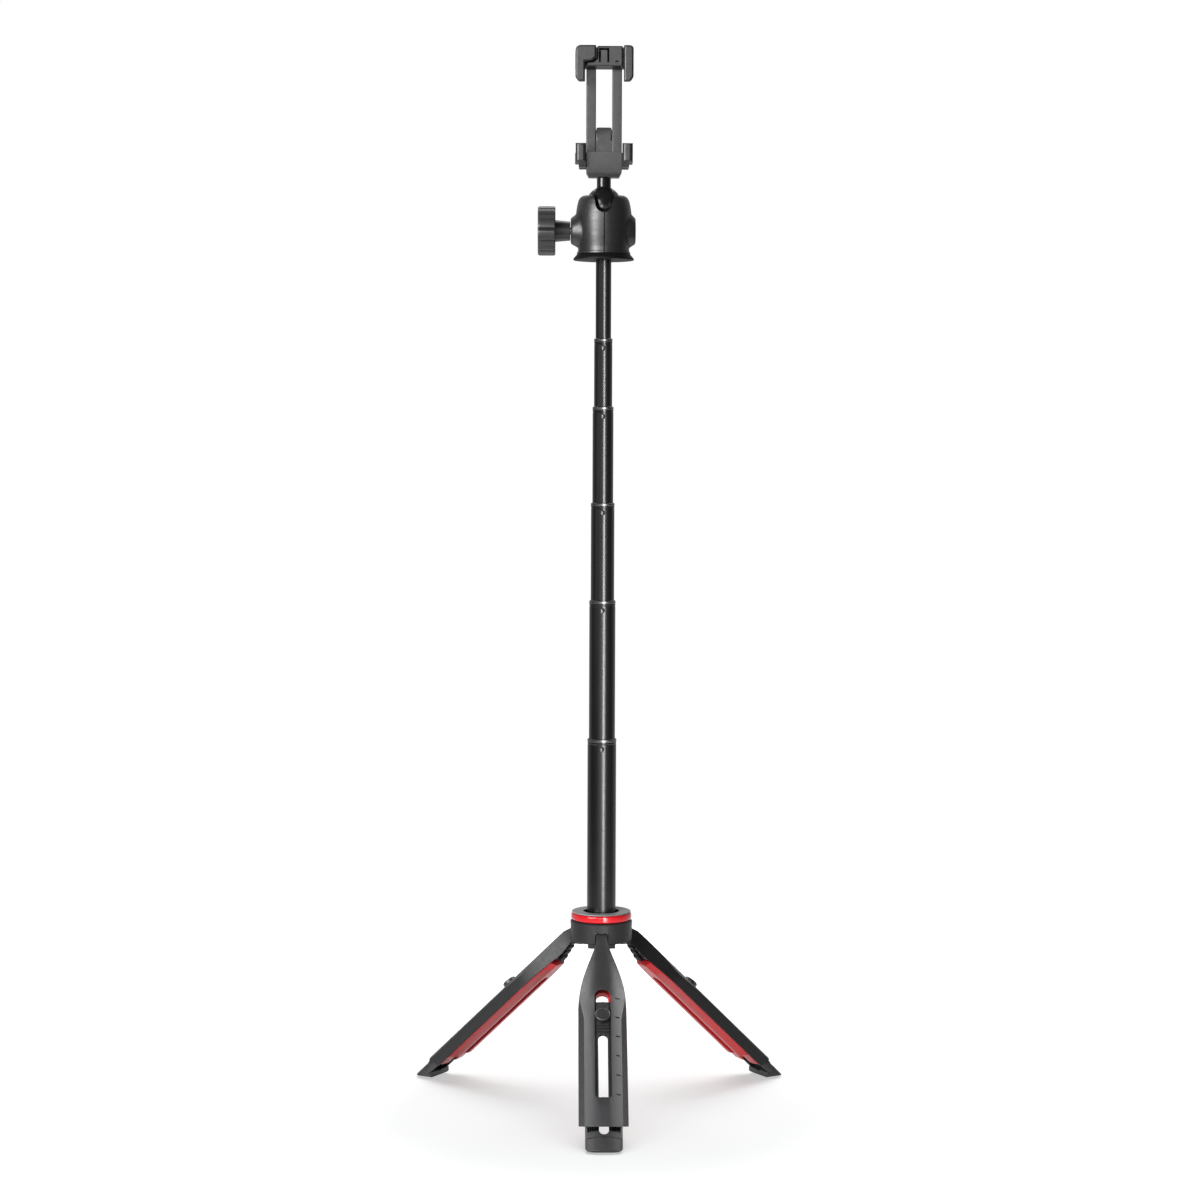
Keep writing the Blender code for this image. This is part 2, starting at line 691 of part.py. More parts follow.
def bar_section():
    """Section of an extension: a channel, open below."""
    half = EXTENSION_WIDTH / 2
    inner = half - EXTENSION_FLANGE
    web = EXTENSION_TOP - EXTENSION_WEB
    channel = [(-half, -EXTENSION_BOTTOM), (-inner, -EXTENSION_BOTTOM), (-inner, web),
               (inner, web), (inner, -EXTENSION_BOTTOM), (half, -EXTENSION_BOTTOM)]
    return channel + bar_top()


def extension_slot():
    """Cut along the middle of an extension, which its foot shares."""
    outline = capsule(EXTENSION_SLOT_WIDTH, EXTENSION_SLOT_START, EXTENSION_SLOT_END)
    return prism(outline, -2 * SOLE_DEPTH, LIP_DEPTH, "Y")


def leg_extension():
    body = prism(bar_section(), -EXTENSION_END, -EXTENSION_START, "Z")
    hole = circle((0.0, -BUTTON_PLACE), BUTTON_STEM_RADIUS + GAP, COARSE)
    steps = [("DIFFERENCE", extension_slot()),
             ("DIFFERENCE", prism(hole, -LIP_DEPTH, LIP_DEPTH, "Y"))]
    for index in range(RIB_COUNT):
        start = RIB_START + RIB_PITCH * index
        low = (-RIB_WIDTH / 2, EXTENSION_TOP - EXTENSION_WEB / 2, -start - RIB_LENGTH)
        high = (RIB_WIDTH / 2, EXTENSION_TOP + RIB_RISE, -start)
        steps.append(("UNION", block(low, high)))
    return carved("leg_extension", body, *steps)


def leg_foot():
    """Boot on the end of an extension, its round underside flat where it stands."""
    past = 2 * FOOT_END
    above = 2 * CROWN_HEIGHT
    seat = -EXTENSION_BOTTOM - GAP
    toe_joint = -EXTENSION_END - GAP
    centre = (SOLE_CENTRE_OUT, -SOLE_CENTRE_ALONG)
    heel_turn = asin((FOOT_START - SOLE_CENTRE_ALONG) / SOLE_ROUND)
    sole = arc(centre, SOLE_ROUND, -pi / 2, -pi + heel_turn, COARSE + 2)
    side = [(above, -FOOT_END)] + sole + [(seat, -FOOT_START), (seat, toe_joint), (above, toe_joint)]
    half = EXTENSION_WIDTH / 2
    plan = prism(foot_plan(), -past, past, "Y")
    section = prism([(-half, -past), (half, -past)] + bar_top(), -past, 0.0, "Z")
    floor = [(floor_out(FOOT_START), -FOOT_START), (floor_out(past), -past), (-past, -past), (-past, -FOOT_START)]
    return carved("leg_foot", prism(side, -half, half, "X"), ("INTERSECT", plan), ("INTERSECT", section),
                  ("DIFFERENCE", prism(floor, -LEG_WIDTH, LEG_WIDTH, "X")), ("DIFFERENCE", extension_slot()))


def leg_knuckle():
    """Ribbed web under the neck, from beside the hub down to the liner's depth."""
    run = (KNUCKLE_END - KNUCKLE_START) / KNUCKLE_RIBS
    stations = flare_stations(KNUCKLE_START, KNUCKLE_END)
    top = [(lip(station) - GAP, -station) for station in reversed(stations)]
    tip = lip(KNUCKLE_START) - GAP - KNUCKLE_TIP
    under = []
    for index in range(KNUCKLE_RIBS):
        start = KNUCKLE_START + run * index
        for place_along, rib in ((start, 0.0), (start + run / 2, 0.0), (start + run / 2, KNUCKLE_RIB_DEPTH),
                                 (start + run, KNUCKLE_RIB_DEPTH)):
            share = (place_along - KNUCKLE_START) / (KNUCKLE_END - KNUCKLE_START)
            base = tip - (LINER_DEPTH + tip) * share ** KNUCKLE_SWEEP
            under.append((min(base, lip(place_along) - GAP - KNUCKLE_TIP) + rib, -place_along))
    half = KNUCKLE_WIDTH / 2
    return prism(top + under, -half, half, "X")


def lock_button():
    shoulder = BUTTON_TOP - BUTTON_HEAD
    profile = [
        (0.0, -BUTTON_STEM_END),
        (BUTTON_STEM_RADIUS, -BUTTON_STEM_END),
        (BUTTON_STEM_RADIUS, shoulder),
        (BUTTON_RADIUS, shoulder),
        (BUTTON_RADIUS, BUTTON_TOP - BUTTON_EDGE),
        (BUTTON_RADIUS - BUTTON_EDGE, BUTTON_TOP),
        (0.0, BUTTON_TOP),
    ]
    return spun(profile, ROUND)


def build_legs(root, finishes):
    meshes = {
        "leg_shell": (leg_shell(), "moulded"),
        "leg_liner": (leg_liner(), "red"),
        "leg_knuckle": (mesh_of(leg_knuckle(), "leg_knuckle"), "moulded"),
        "leg_extension": (leg_extension(), "moulded"),
        "leg_foot": (leg_foot(), "moulded"),
    }
    button = mesh_of(lock_button(), "lock_button")
    pin = mesh_of(prism(circle((0.0, 0.0), PIN_RADIUS, COARSE), -PIN_LENGTH / 2, PIN_LENGTH / 2, "X"), "pin")
    for side, heading in zip(("front", "right", "left"), leg_headings()):
        across = PIN_RADIUS_FROM_AXIS
        hinge_place = (across * cos(heading), across * sin(heading), PIN_HEIGHT)
        hinge = empty("hinge_" + side, root, hinge_place, (LEG_SPREAD, 0.0, heading - pi / 2))
        place("hinge_pin_" + side, pin.copy(), finishes["steel"], hinge)
        for name, (mesh, material) in meshes.items():
            place(name + "_" + side, mesh.copy(), finishes[material], hinge)
        place("lock_button_" + side, button.copy(), finishes["moulded"], hinge,
              (0.0, 0.0, -BUTTON_PLACE), (-pi / 2, 0.0, 0.0))


# Pole

def tube_radius(index):
    return TUBE_RADIUS - TUBE_STEP * index


def tube_bore(index):
    return tube_radius(index) - TUBE_WALL


def tube_ends(index):
    """Lower and upper end of a section, the outermost being number 0."""
    if index == len(EXPOSED) - 1:
        top = HEAD_BOTTOM + TUBE_SOCKET_DEPTH
    else:
        top = SECTION_TOPS[index]
    if index == 0:
        return WELL_FLOOR + GAP, top
    return top - SECOND_TUBE_LENGTH + TUBE_LENGTH_STEP * (index - 1), top


def tube(index):
    """Pole section; its mouth is rolled in to guide the next section."""
    low, top = tube_ends(index)
    outer = tube_radius(index)
    inner = tube_bore(index)
    if index == len(EXPOSED) - 1:
        return spun([(inner, low), (outer, low), (outer, top), (inner, top)], ROUND)
    guide = tube_radius(index + 1) + SLIDE_FIT
    rim = top - RIM_HEIGHT
    profile = [
        (inner, low),
        (outer, low),
        (outer, rim),
        (outer - RIM_TAPER / 2, rim + RIM_SHOULDER),
        (outer - RIM_TAPER, top),
        (guide, top),
        (guide, rim),
        (inner, rim - RIM_SHOULDER),
    ]
    return spun(profile, ROUND)


def end_plug(index):
    """Plug in a section's lower end, whose flange runs in the section outside it."""
    end = tube_ends(index)[0]
    flange = tube_bore(index - 1) - SLIDE_FIT
    spigot = tube_bore(index) - SLIDE_FIT
    low = end - SLIDE_FIT - PLUG_FLANGE
    profile = [
        (0.0, low),
        (flange, low),
        (flange, low + PLUG_FLANGE),
        (spigot, low + PLUG_FLANGE),
        (spigot, low + PLUG_FLANGE + PLUG_SPIGOT),
        (0.0, low + PLUG_FLANGE + PLUG_SPIGOT),
    ]
    return spun(profile, ROUND)


def foot_plug():
    """Threaded plug in the outermost section's foot, which the hub's bolt holds."""
    low = WELL_FLOOR + GAP
    outer = tube_bore(0) - SLIDE_FIT
    hole = BOLT_RADIUS + GAP
    top = low + FOOT_PLUG_HEIGHT
    profile = [(hole, low), (outer, low), (outer, top), (hole, top)]
    return spun(profile, ROUND)


def build_pole(root, finishes):
    place("pole_foot_plug", foot_plug(), finishes["moulded"], root)
    for index in range(len(EXPOSED)):
        number = str(index + 1)
        place("tube_" + number, tube(index), finishes["tube"], root)
        if index > 0:
            place("end_plug_" + number, end_plug(index), finishes["moulded"], root)


# Ball head

def head_base():
    socket = tube_radius(len(EXPOSED) - 1) + SLIDE_FIT
    ceiling = TUBE_SOCKET_DEPTH + GAP
    top = FLANGE_HEIGHT + SPIGOT_HEIGHT
    profile = [
        (socket, 0.0),
        (FLANGE_RADIUS, 0.0),
        (FLANGE_RADIUS, FLANGE_EDGE),
        (HOUSING_FOOT_RADIUS, FLANGE_HEIGHT),
        (SPIGOT_RADIUS, FLANGE_HEIGHT),
        (SPIGOT_RADIUS, top),
        (0.0, top),
        (0.0, ceiling),
        (socket, ceiling),
    ]
    return spun(profile, FINE)


def housing_outline():
    """Outer profile of the head, from its foot up to the rounded top."""
    foot = [(HOUSING_FOOT_RADIUS, 0.0), (HOUSING_FOOT_RADIUS, HOUSING_FOOT_LAND)]
    waist = [(HOUSING_WAIST_RADIUS, HOUSING_WAIST_HEIGHT)]
    rise = HOUSING_BELLY_HEIGHT - HOUSING_WAIST_HEIGHT
    swell = HOUSING_BELLY_RADIUS - HOUSING_WAIST_RADIUS
    shares = [index / PROFILE_STEPS for index in range(1, PROFILE_STEPS + 1)]
    lower = [(HOUSING_WAIST_RADIUS + swell * sin(pi / 2 * share), HOUSING_WAIST_HEIGHT + rise * share)
             for share in shares]
    shoulder = HOUSING_HEIGHT - HOUSING_TOP_ROUND
    fall = HOUSING_BELLY_RADIUS - HOUSING_TOP_RADIUS
    upper = [(HOUSING_TOP_RADIUS + fall * cos(pi / 2 * share),
              HOUSING_BELLY_HEIGHT + (shoulder - HOUSING_BELLY_HEIGHT) * share) for share in shares]
    top_round = arc((HOUSING_TOP_RADIUS - HOUSING_TOP_ROUND, shoulder), HOUSING_TOP_ROUND, 0.0, pi / 2, 4)
    return foot + waist + lower + upper + top_round[1:]


def housing_section():
    """Closed section of the head: outside, ball socket with its mouth, and the foot's spigot room."""
    spigot = SPIGOT_RADIUS + GAP
    ceiling = SPIGOT_HEIGHT + GAP
    cup = BALL_RADIUS + 2 * GAP
    floor = BALL_HEIGHT - BALL_RADIUS - SEAT_FLOOR - GAP
    mouth = arc((0.0, BALL_HEIGHT), cup, asin((HOUSING_HEIGHT - BALL_HEIGHT) / cup), 0.0, 5)
    inside = mouth + [(cup, floor), (0.0, floor), (0.0, ceiling), (spigot, ceiling), (spigot, 0.0)]
    return housing_outline() + inside


def housing_half(name, side):
    """One moulded half of the head; side is -1 on the knob's side and +1 on the nut's."""
    body = spun(housing_section(), FINE)
    reach = LEFT_BOSS_REACH if side < 0 else RIGHT_BOSS_REACH
    inside = BALL_RADIUS + HOUSING_TOP_ROUND
    boss = prism(circle((0.0, SCREW_HEIGHT), BOSS_RADIUS, ROUND), side * inside, side * reach, "X")
    far = 2 * RIGHT_BOSS_REACH
    shaft = prism(circle((0.0, SCREW_HEIGHT), SCREW_RADIUS + GAP, COARSE), -far, far, "X")
    half_mouth = NOTCH_MOUTH_WIDTH / 2
    notch_outline = arc((0.0, BALL_HEIGHT), NOTCH_WIDTH / 2, -pi, 0.0, COARSE)
    notch_outline += [(half_mouth, HOUSING_HEIGHT + GAP), (-half_mouth, HOUSING_HEIGHT + GAP)]
    notch = prism(notch_outline, -far, 0.0, "Y")
    seam = side * HOUSING_SEAM / 2
    other = block((min(seam, -side * far), -far, -far), (max(seam, -side * far), far, 2 * far))
    steps = [("DIFFERENCE", other), ("UNION", boss), ("DIFFERENCE", shaft), ("DIFFERENCE", notch)]
    if side > 0:
        pocket = prism(circle((0.0, SCREW_HEIGHT), NUT_RADIUS + GAP, COARSE),
                       RIGHT_BOSS_REACH - NUT_LENGTH - GAP, far, "X")
        steps.append(("DIFFERENCE", pocket))
    return carved(name, body, *steps)


def ball_stem():
    """Ball and stem about the ball's centre."""
    neck = asin(STEM_RADIUS / BALL_RADIUS)
    ball = arc((0.0, 0.0), BALL_RADIUS, -pi / 2, pi / 2 - neck, COARSE)
    top = STEM_LENGTH - GAP
    profile = ball + [(STEM_RADIUS, top), (THREAD_RADIUS, top), (THREAD_RADIUS, top + THREAD_LENGTH),
                      (0.0, top + THREAD_LENGTH)]
    profile[0] = (0.0, -BALL_RADIUS)
    return spun(profile, ROUND)


def ball_seat():
    """Cup under the ball, about the ball's centre."""
    cup = BALL_RADIUS + GAP
    low = -BALL_RADIUS - SEAT_FLOOR
    rim = SEAT_RISE - BALL_RADIUS
    bowl = arc((0.0, 0.0), cup, asin(rim / cup), -acos(SEAT_BORE_RADIUS / cup), 5)
    return spun([(SEAT_BORE_RADIUS, low), (BALL_RADIUS, low), (BALL_RADIUS, rim)] + bowl, ROUND)


def knob_ring(radius, height):
    """Scalloped outline of the knob at a height along its axis."""
    count = KNOB_LOBES * KNOB_POINTS_PER_LOBE
    points = []
    for index in range(count):
        turn = tau * index / count
        dip = max(0.0, cos(KNOB_LOBES * turn)) ** 2
        reach = radius - KNOB_GROOVE * dip
        points.append((reach * cos(turn), reach * sin(turn), height))
    return points


def lock_knob():
    """Knob and its neck along +Z, away from the head."""
    start = LEFT_BOSS_REACH + GAP
    end = KNOB_FACE_REACH + KNOB_THICKNESS
    levels = [
        (KNOB_RADIUS - KNOB_EDGE / 2, KNOB_FACE_REACH),
        (KNOB_RADIUS, KNOB_FACE_REACH + KNOB_EDGE / 2),
        (KNOB_RADIUS, end - KNOB_EDGE),
        (KNOB_RADIUS - KNOB_EDGE, end),
    ]
    grip = loft([knob_ring(radius, height) for radius, height in levels])
    hole = SCREW_RADIUS + GAP
    inside = KNOB_FACE_REACH + KNOB_THICKNESS / 2
    neck = spun([(hole, start), (KNOB_NECK_RADIUS, start), (KNOB_NECK_FOOT_RADIUS, inside),
                 (hole, inside)], ROUND)
    shaft = spun([(0.0, start - GAP), (hole, start - GAP), (hole, inside - GAP), (0.0, inside - GAP)], ROUND)
    return carved("lock_knob", grip, ("UNION", neck), ("DIFFERENCE", shaft))


def lock_screw():
    """Screw along +Z from the nut's end to inside the knob."""
    start = -RIGHT_BOSS_REACH + GAP
    end = KNOB_FACE_REACH + KNOB_THICKNESS / 2 - 2 * GAP
    return spun([(0.0, start), (SCREW_RADIUS, start), (SCREW_RADIUS, end), (0.0, end)], COARSE)


def build_head(root, finishes):
    head = empty("head_axis", root, (0.0, 0.0, HEAD_BOTTOM))
    lift = HOUSING_BOTTOM - HEAD_BOTTOM
    place("head_base", head_base(), finishes["moulded"], head)
    place("housing_left", housing_half("housing_left", -1), finishes["moulded"], head, (0.0, 0.0, lift))
    place("housing_right", housing_half("housing_right", 1), finishes["moulded"], head, (0.0, 0.0, lift))
    ball = empty("ball_centre", head, (0.0, 0.0, BALL_CENTRE - HEAD_BOTTOM))
    place("ball_seat", ball_seat(), finishes["seat"], ball)
    place("ball_stem", ball_stem(), finishes["steel_black"], ball)
    screw = empty("lock_axis", head, (0.0, 0.0, SCREW_CENTRE - HEAD_BOTTOM), (0.0, -pi / 2, 0.0))
    place("lock_screw", lock_screw(), finishes["steel"], screw)
    place("lock_knob", lock_knob(), finishes["knob"], screw)
    nut = ring(SCREW_RADIUS + GAP, NUT_RADIUS, -RIGHT_BOSS_REACH, -RIGHT_BOSS_REACH + NUT_LENGTH, GAP, COARSE)
    place("lock_nut", nut, finishes["steel"], screw)


# Phone holder, about the bottom of its block on the stem's axis

def holder_block():
    half = BLOCK_WIDTH / 2
    front = -BLOCK_DEPTH / 2
    side = [
        (front + BLOCK_CHAMFER / 2, 0.0),
        (-front - BLOCK_CHAMFER / 2, 0.0),
        (-front, BLOCK_CHAMFER),
        (-front, BLOCK_LEDGE - GAP),
        (FRAME_FRONT - GAP, BLOCK_LEDGE - GAP),
        (FRAME_FRONT - GAP, BLOCK_HEIGHT),
        (front, BLOCK_HEIGHT),
        (front, BLOCK_CHAMFER),
    ]
    face = [
        (BLOCK_CHAMFER / 2 - half, 0.0),
        (half - BLOCK_CHAMFER / 2, 0.0),
        (half, BLOCK_CHAMFER),
        (half, BLOCK_HEIGHT),
        (-half, BLOCK_HEIGHT),
        (-half, BLOCK_CHAMFER),
    ]
    bore = spun([(0.0, -GAP), (INSERT_RADIUS + GAP, -GAP), (INSERT_RADIUS + GAP, INSERT_LENGTH + GAP),
                 (THREAD_RADIUS + GAP, INSERT_LENGTH + GAP), (THREAD_RADIUS + GAP, THREAD_LENGTH + GAP),
                 (0.0, THREAD_LENGTH + GAP)], COARSE)
    return carved("holder_block", prism(side, -half, half, "X"),
                  ("INTERSECT", prism(face, -BLOCK_DEPTH, BLOCK_DEPTH, "Y")), ("DIFFERENCE", bore))


def rail_centres():
    return (-RAIL_SPACING / 2, RAIL_SPACING / 2)


def wing_side():
    """Side view of a lower finger: floor, round-topped lip and sloping underside."""
    front = FRAME_FRONT - JAW_REACH
    floor = BLOCK_HEIGHT - PAD_THICKNESS
    radius = LOWER_LIP_THICKNESS / 2
    lip_top = arc((front + radius, BLOCK_HEIGHT + LOWER_LIP_RISE - radius), radius, 0.0, pi, COARSE // 2)
    back = FRAME_BACK - RAIL_INSET
    low = BLOCK_LEDGE + RAIL_INSET
    return [(back, low), (back, floor), (front + LOWER_LIP_THICKNESS, floor)] + lip_top + [
        (front, floor - FLOOR_THICKNESS), (front + WING_DROP, low)]


def holder_frame():
    """Lower jaw and the two hollow rails that rise from it."""
    half = JAW_WIDTH / 2
    inner = BLOCK_WIDTH / 2 + GAP
    bar = block((-half, FRAME_FRONT, BLOCK_LEDGE), (half, FRAME_BACK, BLOCK_HEIGHT))
    steps = []
    for low, high in ((-half + RAIL_INSET, -inner), (inner, half - RAIL_INSET)):
        steps.append(("UNION", prism(wing_side(), low, high, "X")))
    rail_top = BLOCK_HEIGHT + JAW_GAP - GAP
    for centre in rail_centres():
        low = (centre - RAIL_WIDTH / 2, FRAME_FRONT + RAIL_INSET, BLOCK_LEDGE + RAIL_INSET)
        high = (centre + RAIL_WIDTH / 2, FRAME_BACK - RAIL_INSET, rail_top)
        steps.append(("UNION", block(low, high)))
    middle = (FRAME_FRONT + FRAME_BACK) / 2
    for centre in rail_centres():
        low = (centre - CHANNEL_WIDTH / 2, middle - CHANNEL_DEPTH / 2, BLOCK_HEIGHT)
        high = (centre + CHANNEL_WIDTH / 2, middle + CHANNEL_DEPTH / 2, rail_top + GAP)
        steps.append(("DIFFERENCE", block(low, high)))
    return carved("holder_frame", bar, *steps)


def centre_stop():
    """Round-nosed post between the rails."""
    half = (RAIL_SPACING - RAIL_WIDTH) / 2 - GAP
    low = BLOCK_HEIGHT + GAP
    nose = arc((0.0, BLOCK_HEIGHT + STOP_HEIGHT - half), half, 0.0, pi, COARSE)
    outline = [(-half, low), (half, low)] + nose
    middle = (FRAME_FRONT + FRAME_BACK) / 2
    return prism(outline, middle - STOP_DEPTH / 2, middle + STOP_DEPTH / 2, "Y")


def finger_side(base):
    """Side view of an upper finger: bar end, arm and round hooked tip."""
    front = FRAME_FRONT - JAW_REACH
    top = base + UPPER_BAR_HEIGHT - RAIL_INSET
    radius = UPPER_FINGER_THICKNESS / 2
    back = FRAME_BACK - RAIL_INSET
    near = FRAME_FRONT + RAIL_INSET
    low = base + RAIL_INSET
    tip = arc((front + radius, base - UPPER_FINGER_DROP + radius), radius, pi, tau, COARSE // 2)
    return [(back, low), (back, top), (front + radius, top), (front, top - radius)] + tip + [
        (front + UPPER_FINGER_THICKNESS, base + PAD_THICKNESS), (near, base + PAD_THICKNESS), (near, low)]


def upper_jaw():
    """Sprung jaw: a bar with two hooked fingers and two prongs that run in the rails."""
    base = BLOCK_HEIGHT + JAW_GAP
    half = JAW_WIDTH / 2
    top = base + UPPER_BAR_HEIGHT
    front = FRAME_FRONT - JAW_REACH
    inner = half - UPPER_FINGER_WIDTH
    bar = block((-half, FRAME_FRONT, base), (half, FRAME_BACK, top))
    steps = []
    for low, high in ((-half + RAIL_INSET, -inner), (inner, half - RAIL_INSET)):
        steps.append(("UNION", prism(finger_side(base), low, high, "X")))
    step = base + COVER_STEP
    hook = [
        (-half + 2 * RAIL_INSET, step + RAIL_INSET),
        (-inner + RAIL_INSET, step - RAIL_INSET),
        (LEFT_HOOK_WIDTH - half, step + COVER_STEP / 2),
        (LEFT_HOOK_WIDTH - half, top - 2 * RAIL_INSET),
        (-half + 2 * RAIL_INSET, top - 2 * RAIL_INSET),
    ]
    steps.append(("UNION", prism(hook, front + RAIL_INSET, FRAME_FRONT + RAIL_INSET, "Y")))
    middle = (FRAME_FRONT + FRAME_BACK) / 2
    prong_half = CHANNEL_WIDTH / 2 - GAP
    prong_depth = CHANNEL_DEPTH / 2 - GAP
    for centre in rail_centres():
        low = (centre - prong_half, middle - prong_depth, base - PRONG_LENGTH)
        high = (centre + prong_half, middle + prong_depth, base + RAIL_INSET)
        steps.append(("UNION", block(low, high)))
    return carved("upper_jaw", bar, *steps)


def jaw_cover():
    """Front plate of the upper jaw beside its left hook, with a cut round its catch."""
    base = BLOCK_HEIGHT + JAW_GAP + GAP
    half = JAW_WIDTH / 2
    top = base + UPPER_BAR_HEIGHT - 2 * GAP
    right = half - UPPER_FINGER_WIDTH - GAP
    left = LEFT_HOOK_WIDTH - half + GAP
    foot_left = UPPER_FINGER_WIDTH - half + 2 * GAP
    step = base + COVER_STEP / 2
    outline = [
        (foot_left, base + COVER_CORNER),
        (foot_left + COVER_CORNER, base),
        (right - COVER_CORNER, base),
        (right, base + COVER_CORNER),
        (right, top),
        (left, top),
        (left, step),
        (foot_left, step),
    ]
    front = FRAME_FRONT - COVER_REACH
    outer = GROOVE_WIDTH / 2
    inner = outer - GROOVE_LINE
    groove_top = top - GROOVE_TOP
    groove_foot = base + GROOVE_TOP
    groove = [
        (-outer, groove_foot),
        (-outer, groove_top),
        (outer, groove_top),
        (outer, groove_foot),
        (inner, groove_foot),
        (inner, groove_top - GROOVE_LINE),
        (-inner, groove_top - GROOVE_LINE),
        (-inner, groove_foot),
    ]
    return carved("jaw_cover", prism(outline, front, FRAME_FRONT - GAP, "Y"),
                  ("DIFFERENCE", prism(groove, front - GAP, front + GROOVE_DEPTH, "Y")))


def jaw_pad(low_x, high_x, bottom):
    """Rubber strip on a finger, from the rail to the lip."""
    front = FRAME_FRONT - JAW_REACH + UPPER_FINGER_THICKNESS + GAP
    height = PAD_THICKNESS - 2 * GAP
    return block((low_x, front, bottom), (high_x, FRAME_FRONT - GAP, bottom + height))


def jaw_spring(name, material, parent, centre):
    """Tension spring in a rail, below the jaw's prong."""
    low = BLOCK_HEIGHT + GAP + SPRING_WIRE
    high = BLOCK_HEIGHT + JAW_GAP - PRONG_LENGTH - GAP - SPRING_WIRE
    count = SPRING_TURNS * SPRING_POINTS_PER_TURN
    curve = bpy.data.curves.new(name, "CURVE")
    curve.dimensions = "3D"
    curve.bevel_depth = SPRING_WIRE
    curve.bevel_resolution = 0
    curve.use_fill_caps = True
    wire = curve.splines.new("POLY")
    wire.points.add(count)
    for index, point in enumerate(wire.points):
        turn = tau * index / SPRING_POINTS_PER_TURN
        rise = low + (high - low) * index / count
        point.co = (SPRING_RADIUS * cos(turn), SPRING_RADIUS * sin(turn), rise, 1.0)
    curve.materials.append(material)
    spring = bpy.data.objects.new(name, curve)
    bpy.context.scene.collection.objects.link(spring)
    spring.parent = parent
    spring.location = (centre, (FRAME_FRONT + FRAME_BACK) / 2, 0.0)
    return spring


def build_holder(root, finishes):
    holder = empty("holder_axis", root, (0.0, 0.0, BLOCK_BOTTOM))
    place("holder_block", holder_block(), finishes["moulded"], holder)
    insert = ring(THREAD_RADIUS + GAP, INSERT_RADIUS, 0.0, INSERT_LENGTH, GAP, COARSE)
    place("holder_insert", insert, finishes["brass"], holder)
    place("holder_frame", holder_frame(), finishes["moulded"], holder)
    place("centre_stop", centre_stop(), finishes["moulded"], holder)
    place("upper_jaw", upper_jaw(), finishes["moulded"], holder)
    place("jaw_cover", jaw_cover(), finishes["moulded"], holder)
    half = JAW_WIDTH / 2
    inner = BLOCK_WIDTH / 2 + GAP + PAD_INSET
    outer = half - RAIL_INSET - PAD_INSET
    low = BLOCK_HEIGHT - PAD_THICKNESS + GAP
    high = BLOCK_HEIGHT + JAW_GAP + GAP
    finger = half - UPPER_FINGER_WIDTH + PAD_INSET + GAP
    for side, sign, centre in zip(("left", "right"), (-1, 1), rail_centres()):
        ends = sorted((sign * inner, sign * outer))
        place("lower_pad_" + side, jaw_pad(ends[0], ends[1], low), finishes["rubber"], holder)
        ends = sorted((sign * finger, sign * outer))
        place("upper_pad_" + side, jaw_pad(ends[0], ends[1], high), finishes["rubber"], holder)
        jaw_spring("jaw_spring_" + side, finishes["steel"], holder, centre)


def finishes():
    return {
        "moulded": finish("moulded_black", (0.018, 0.018, 0.019), 0.48),
        "knob": finish("knob_black", (0.022, 0.022, 0.023), 0.42),
        "red": finish("satin_red", (0.45, 0.012, 0.018), 0.38),
        "red_gloss": finish("gloss_red", (0.55, 0.008, 0.016), 0.16),
        "bezel": finish("bezel_grey", (0.16, 0.16, 0.165), 0.5),
        "rubber": finish("rubber_black", (0.012, 0.012, 0.012), 0.8),
        "tube": finish("anodised_black", (0.012, 0.012, 0.013), 0.2, 0.6),
        "steel": finish("steel", (0.45, 0.45, 0.46), 0.3, 1.0),
        "steel_black": finish("black_steel", (0.015, 0.015, 0.016), 0.3, 0.5),
        "seat": finish("seat_nylon", (0.05, 0.05, 0.05), 0.5),
        "brass": finish("brass", (0.6, 0.42, 0.18), 0.35, 1.0),
    }


def centre_footprint(root):
    """Move the assembly so that the middle of its box lies over the origin."""
    graph = bpy.context.evaluated_depsgraph_get()
    lows = []
    highs = []
    for item in bpy.context.scene.objects:
        if item.type != "MESH":
            continue
        corners = [item.matrix_world @ vertex.co for vertex in item.evaluated_get(graph).data.vertices]
        lows.append(min(corner.y for corner in corners))
        highs.append(max(corner.y for corner in corners))
    root.location.y = -(min(lows) + max(highs)) / 2


def main():
    clear_scene()
    surface = finishes()
    root = empty("pole_axis")
    build_hub(root, surface)
    build_legs(root, surface)
    build_pole(root, surface)
    build_head(root, surface)
    build_holder(root, surface)
    centre_footprint(root)


main()
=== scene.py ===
"""Looks of a selfie stick standing on its folding tripod, on a pale floor in soft studio light."""

import json
from math import acos, asin, atan, atan2, cos, pi, radians, sin, sqrt, tau

import bmesh
import bpy
from mathutils import Matrix, Vector

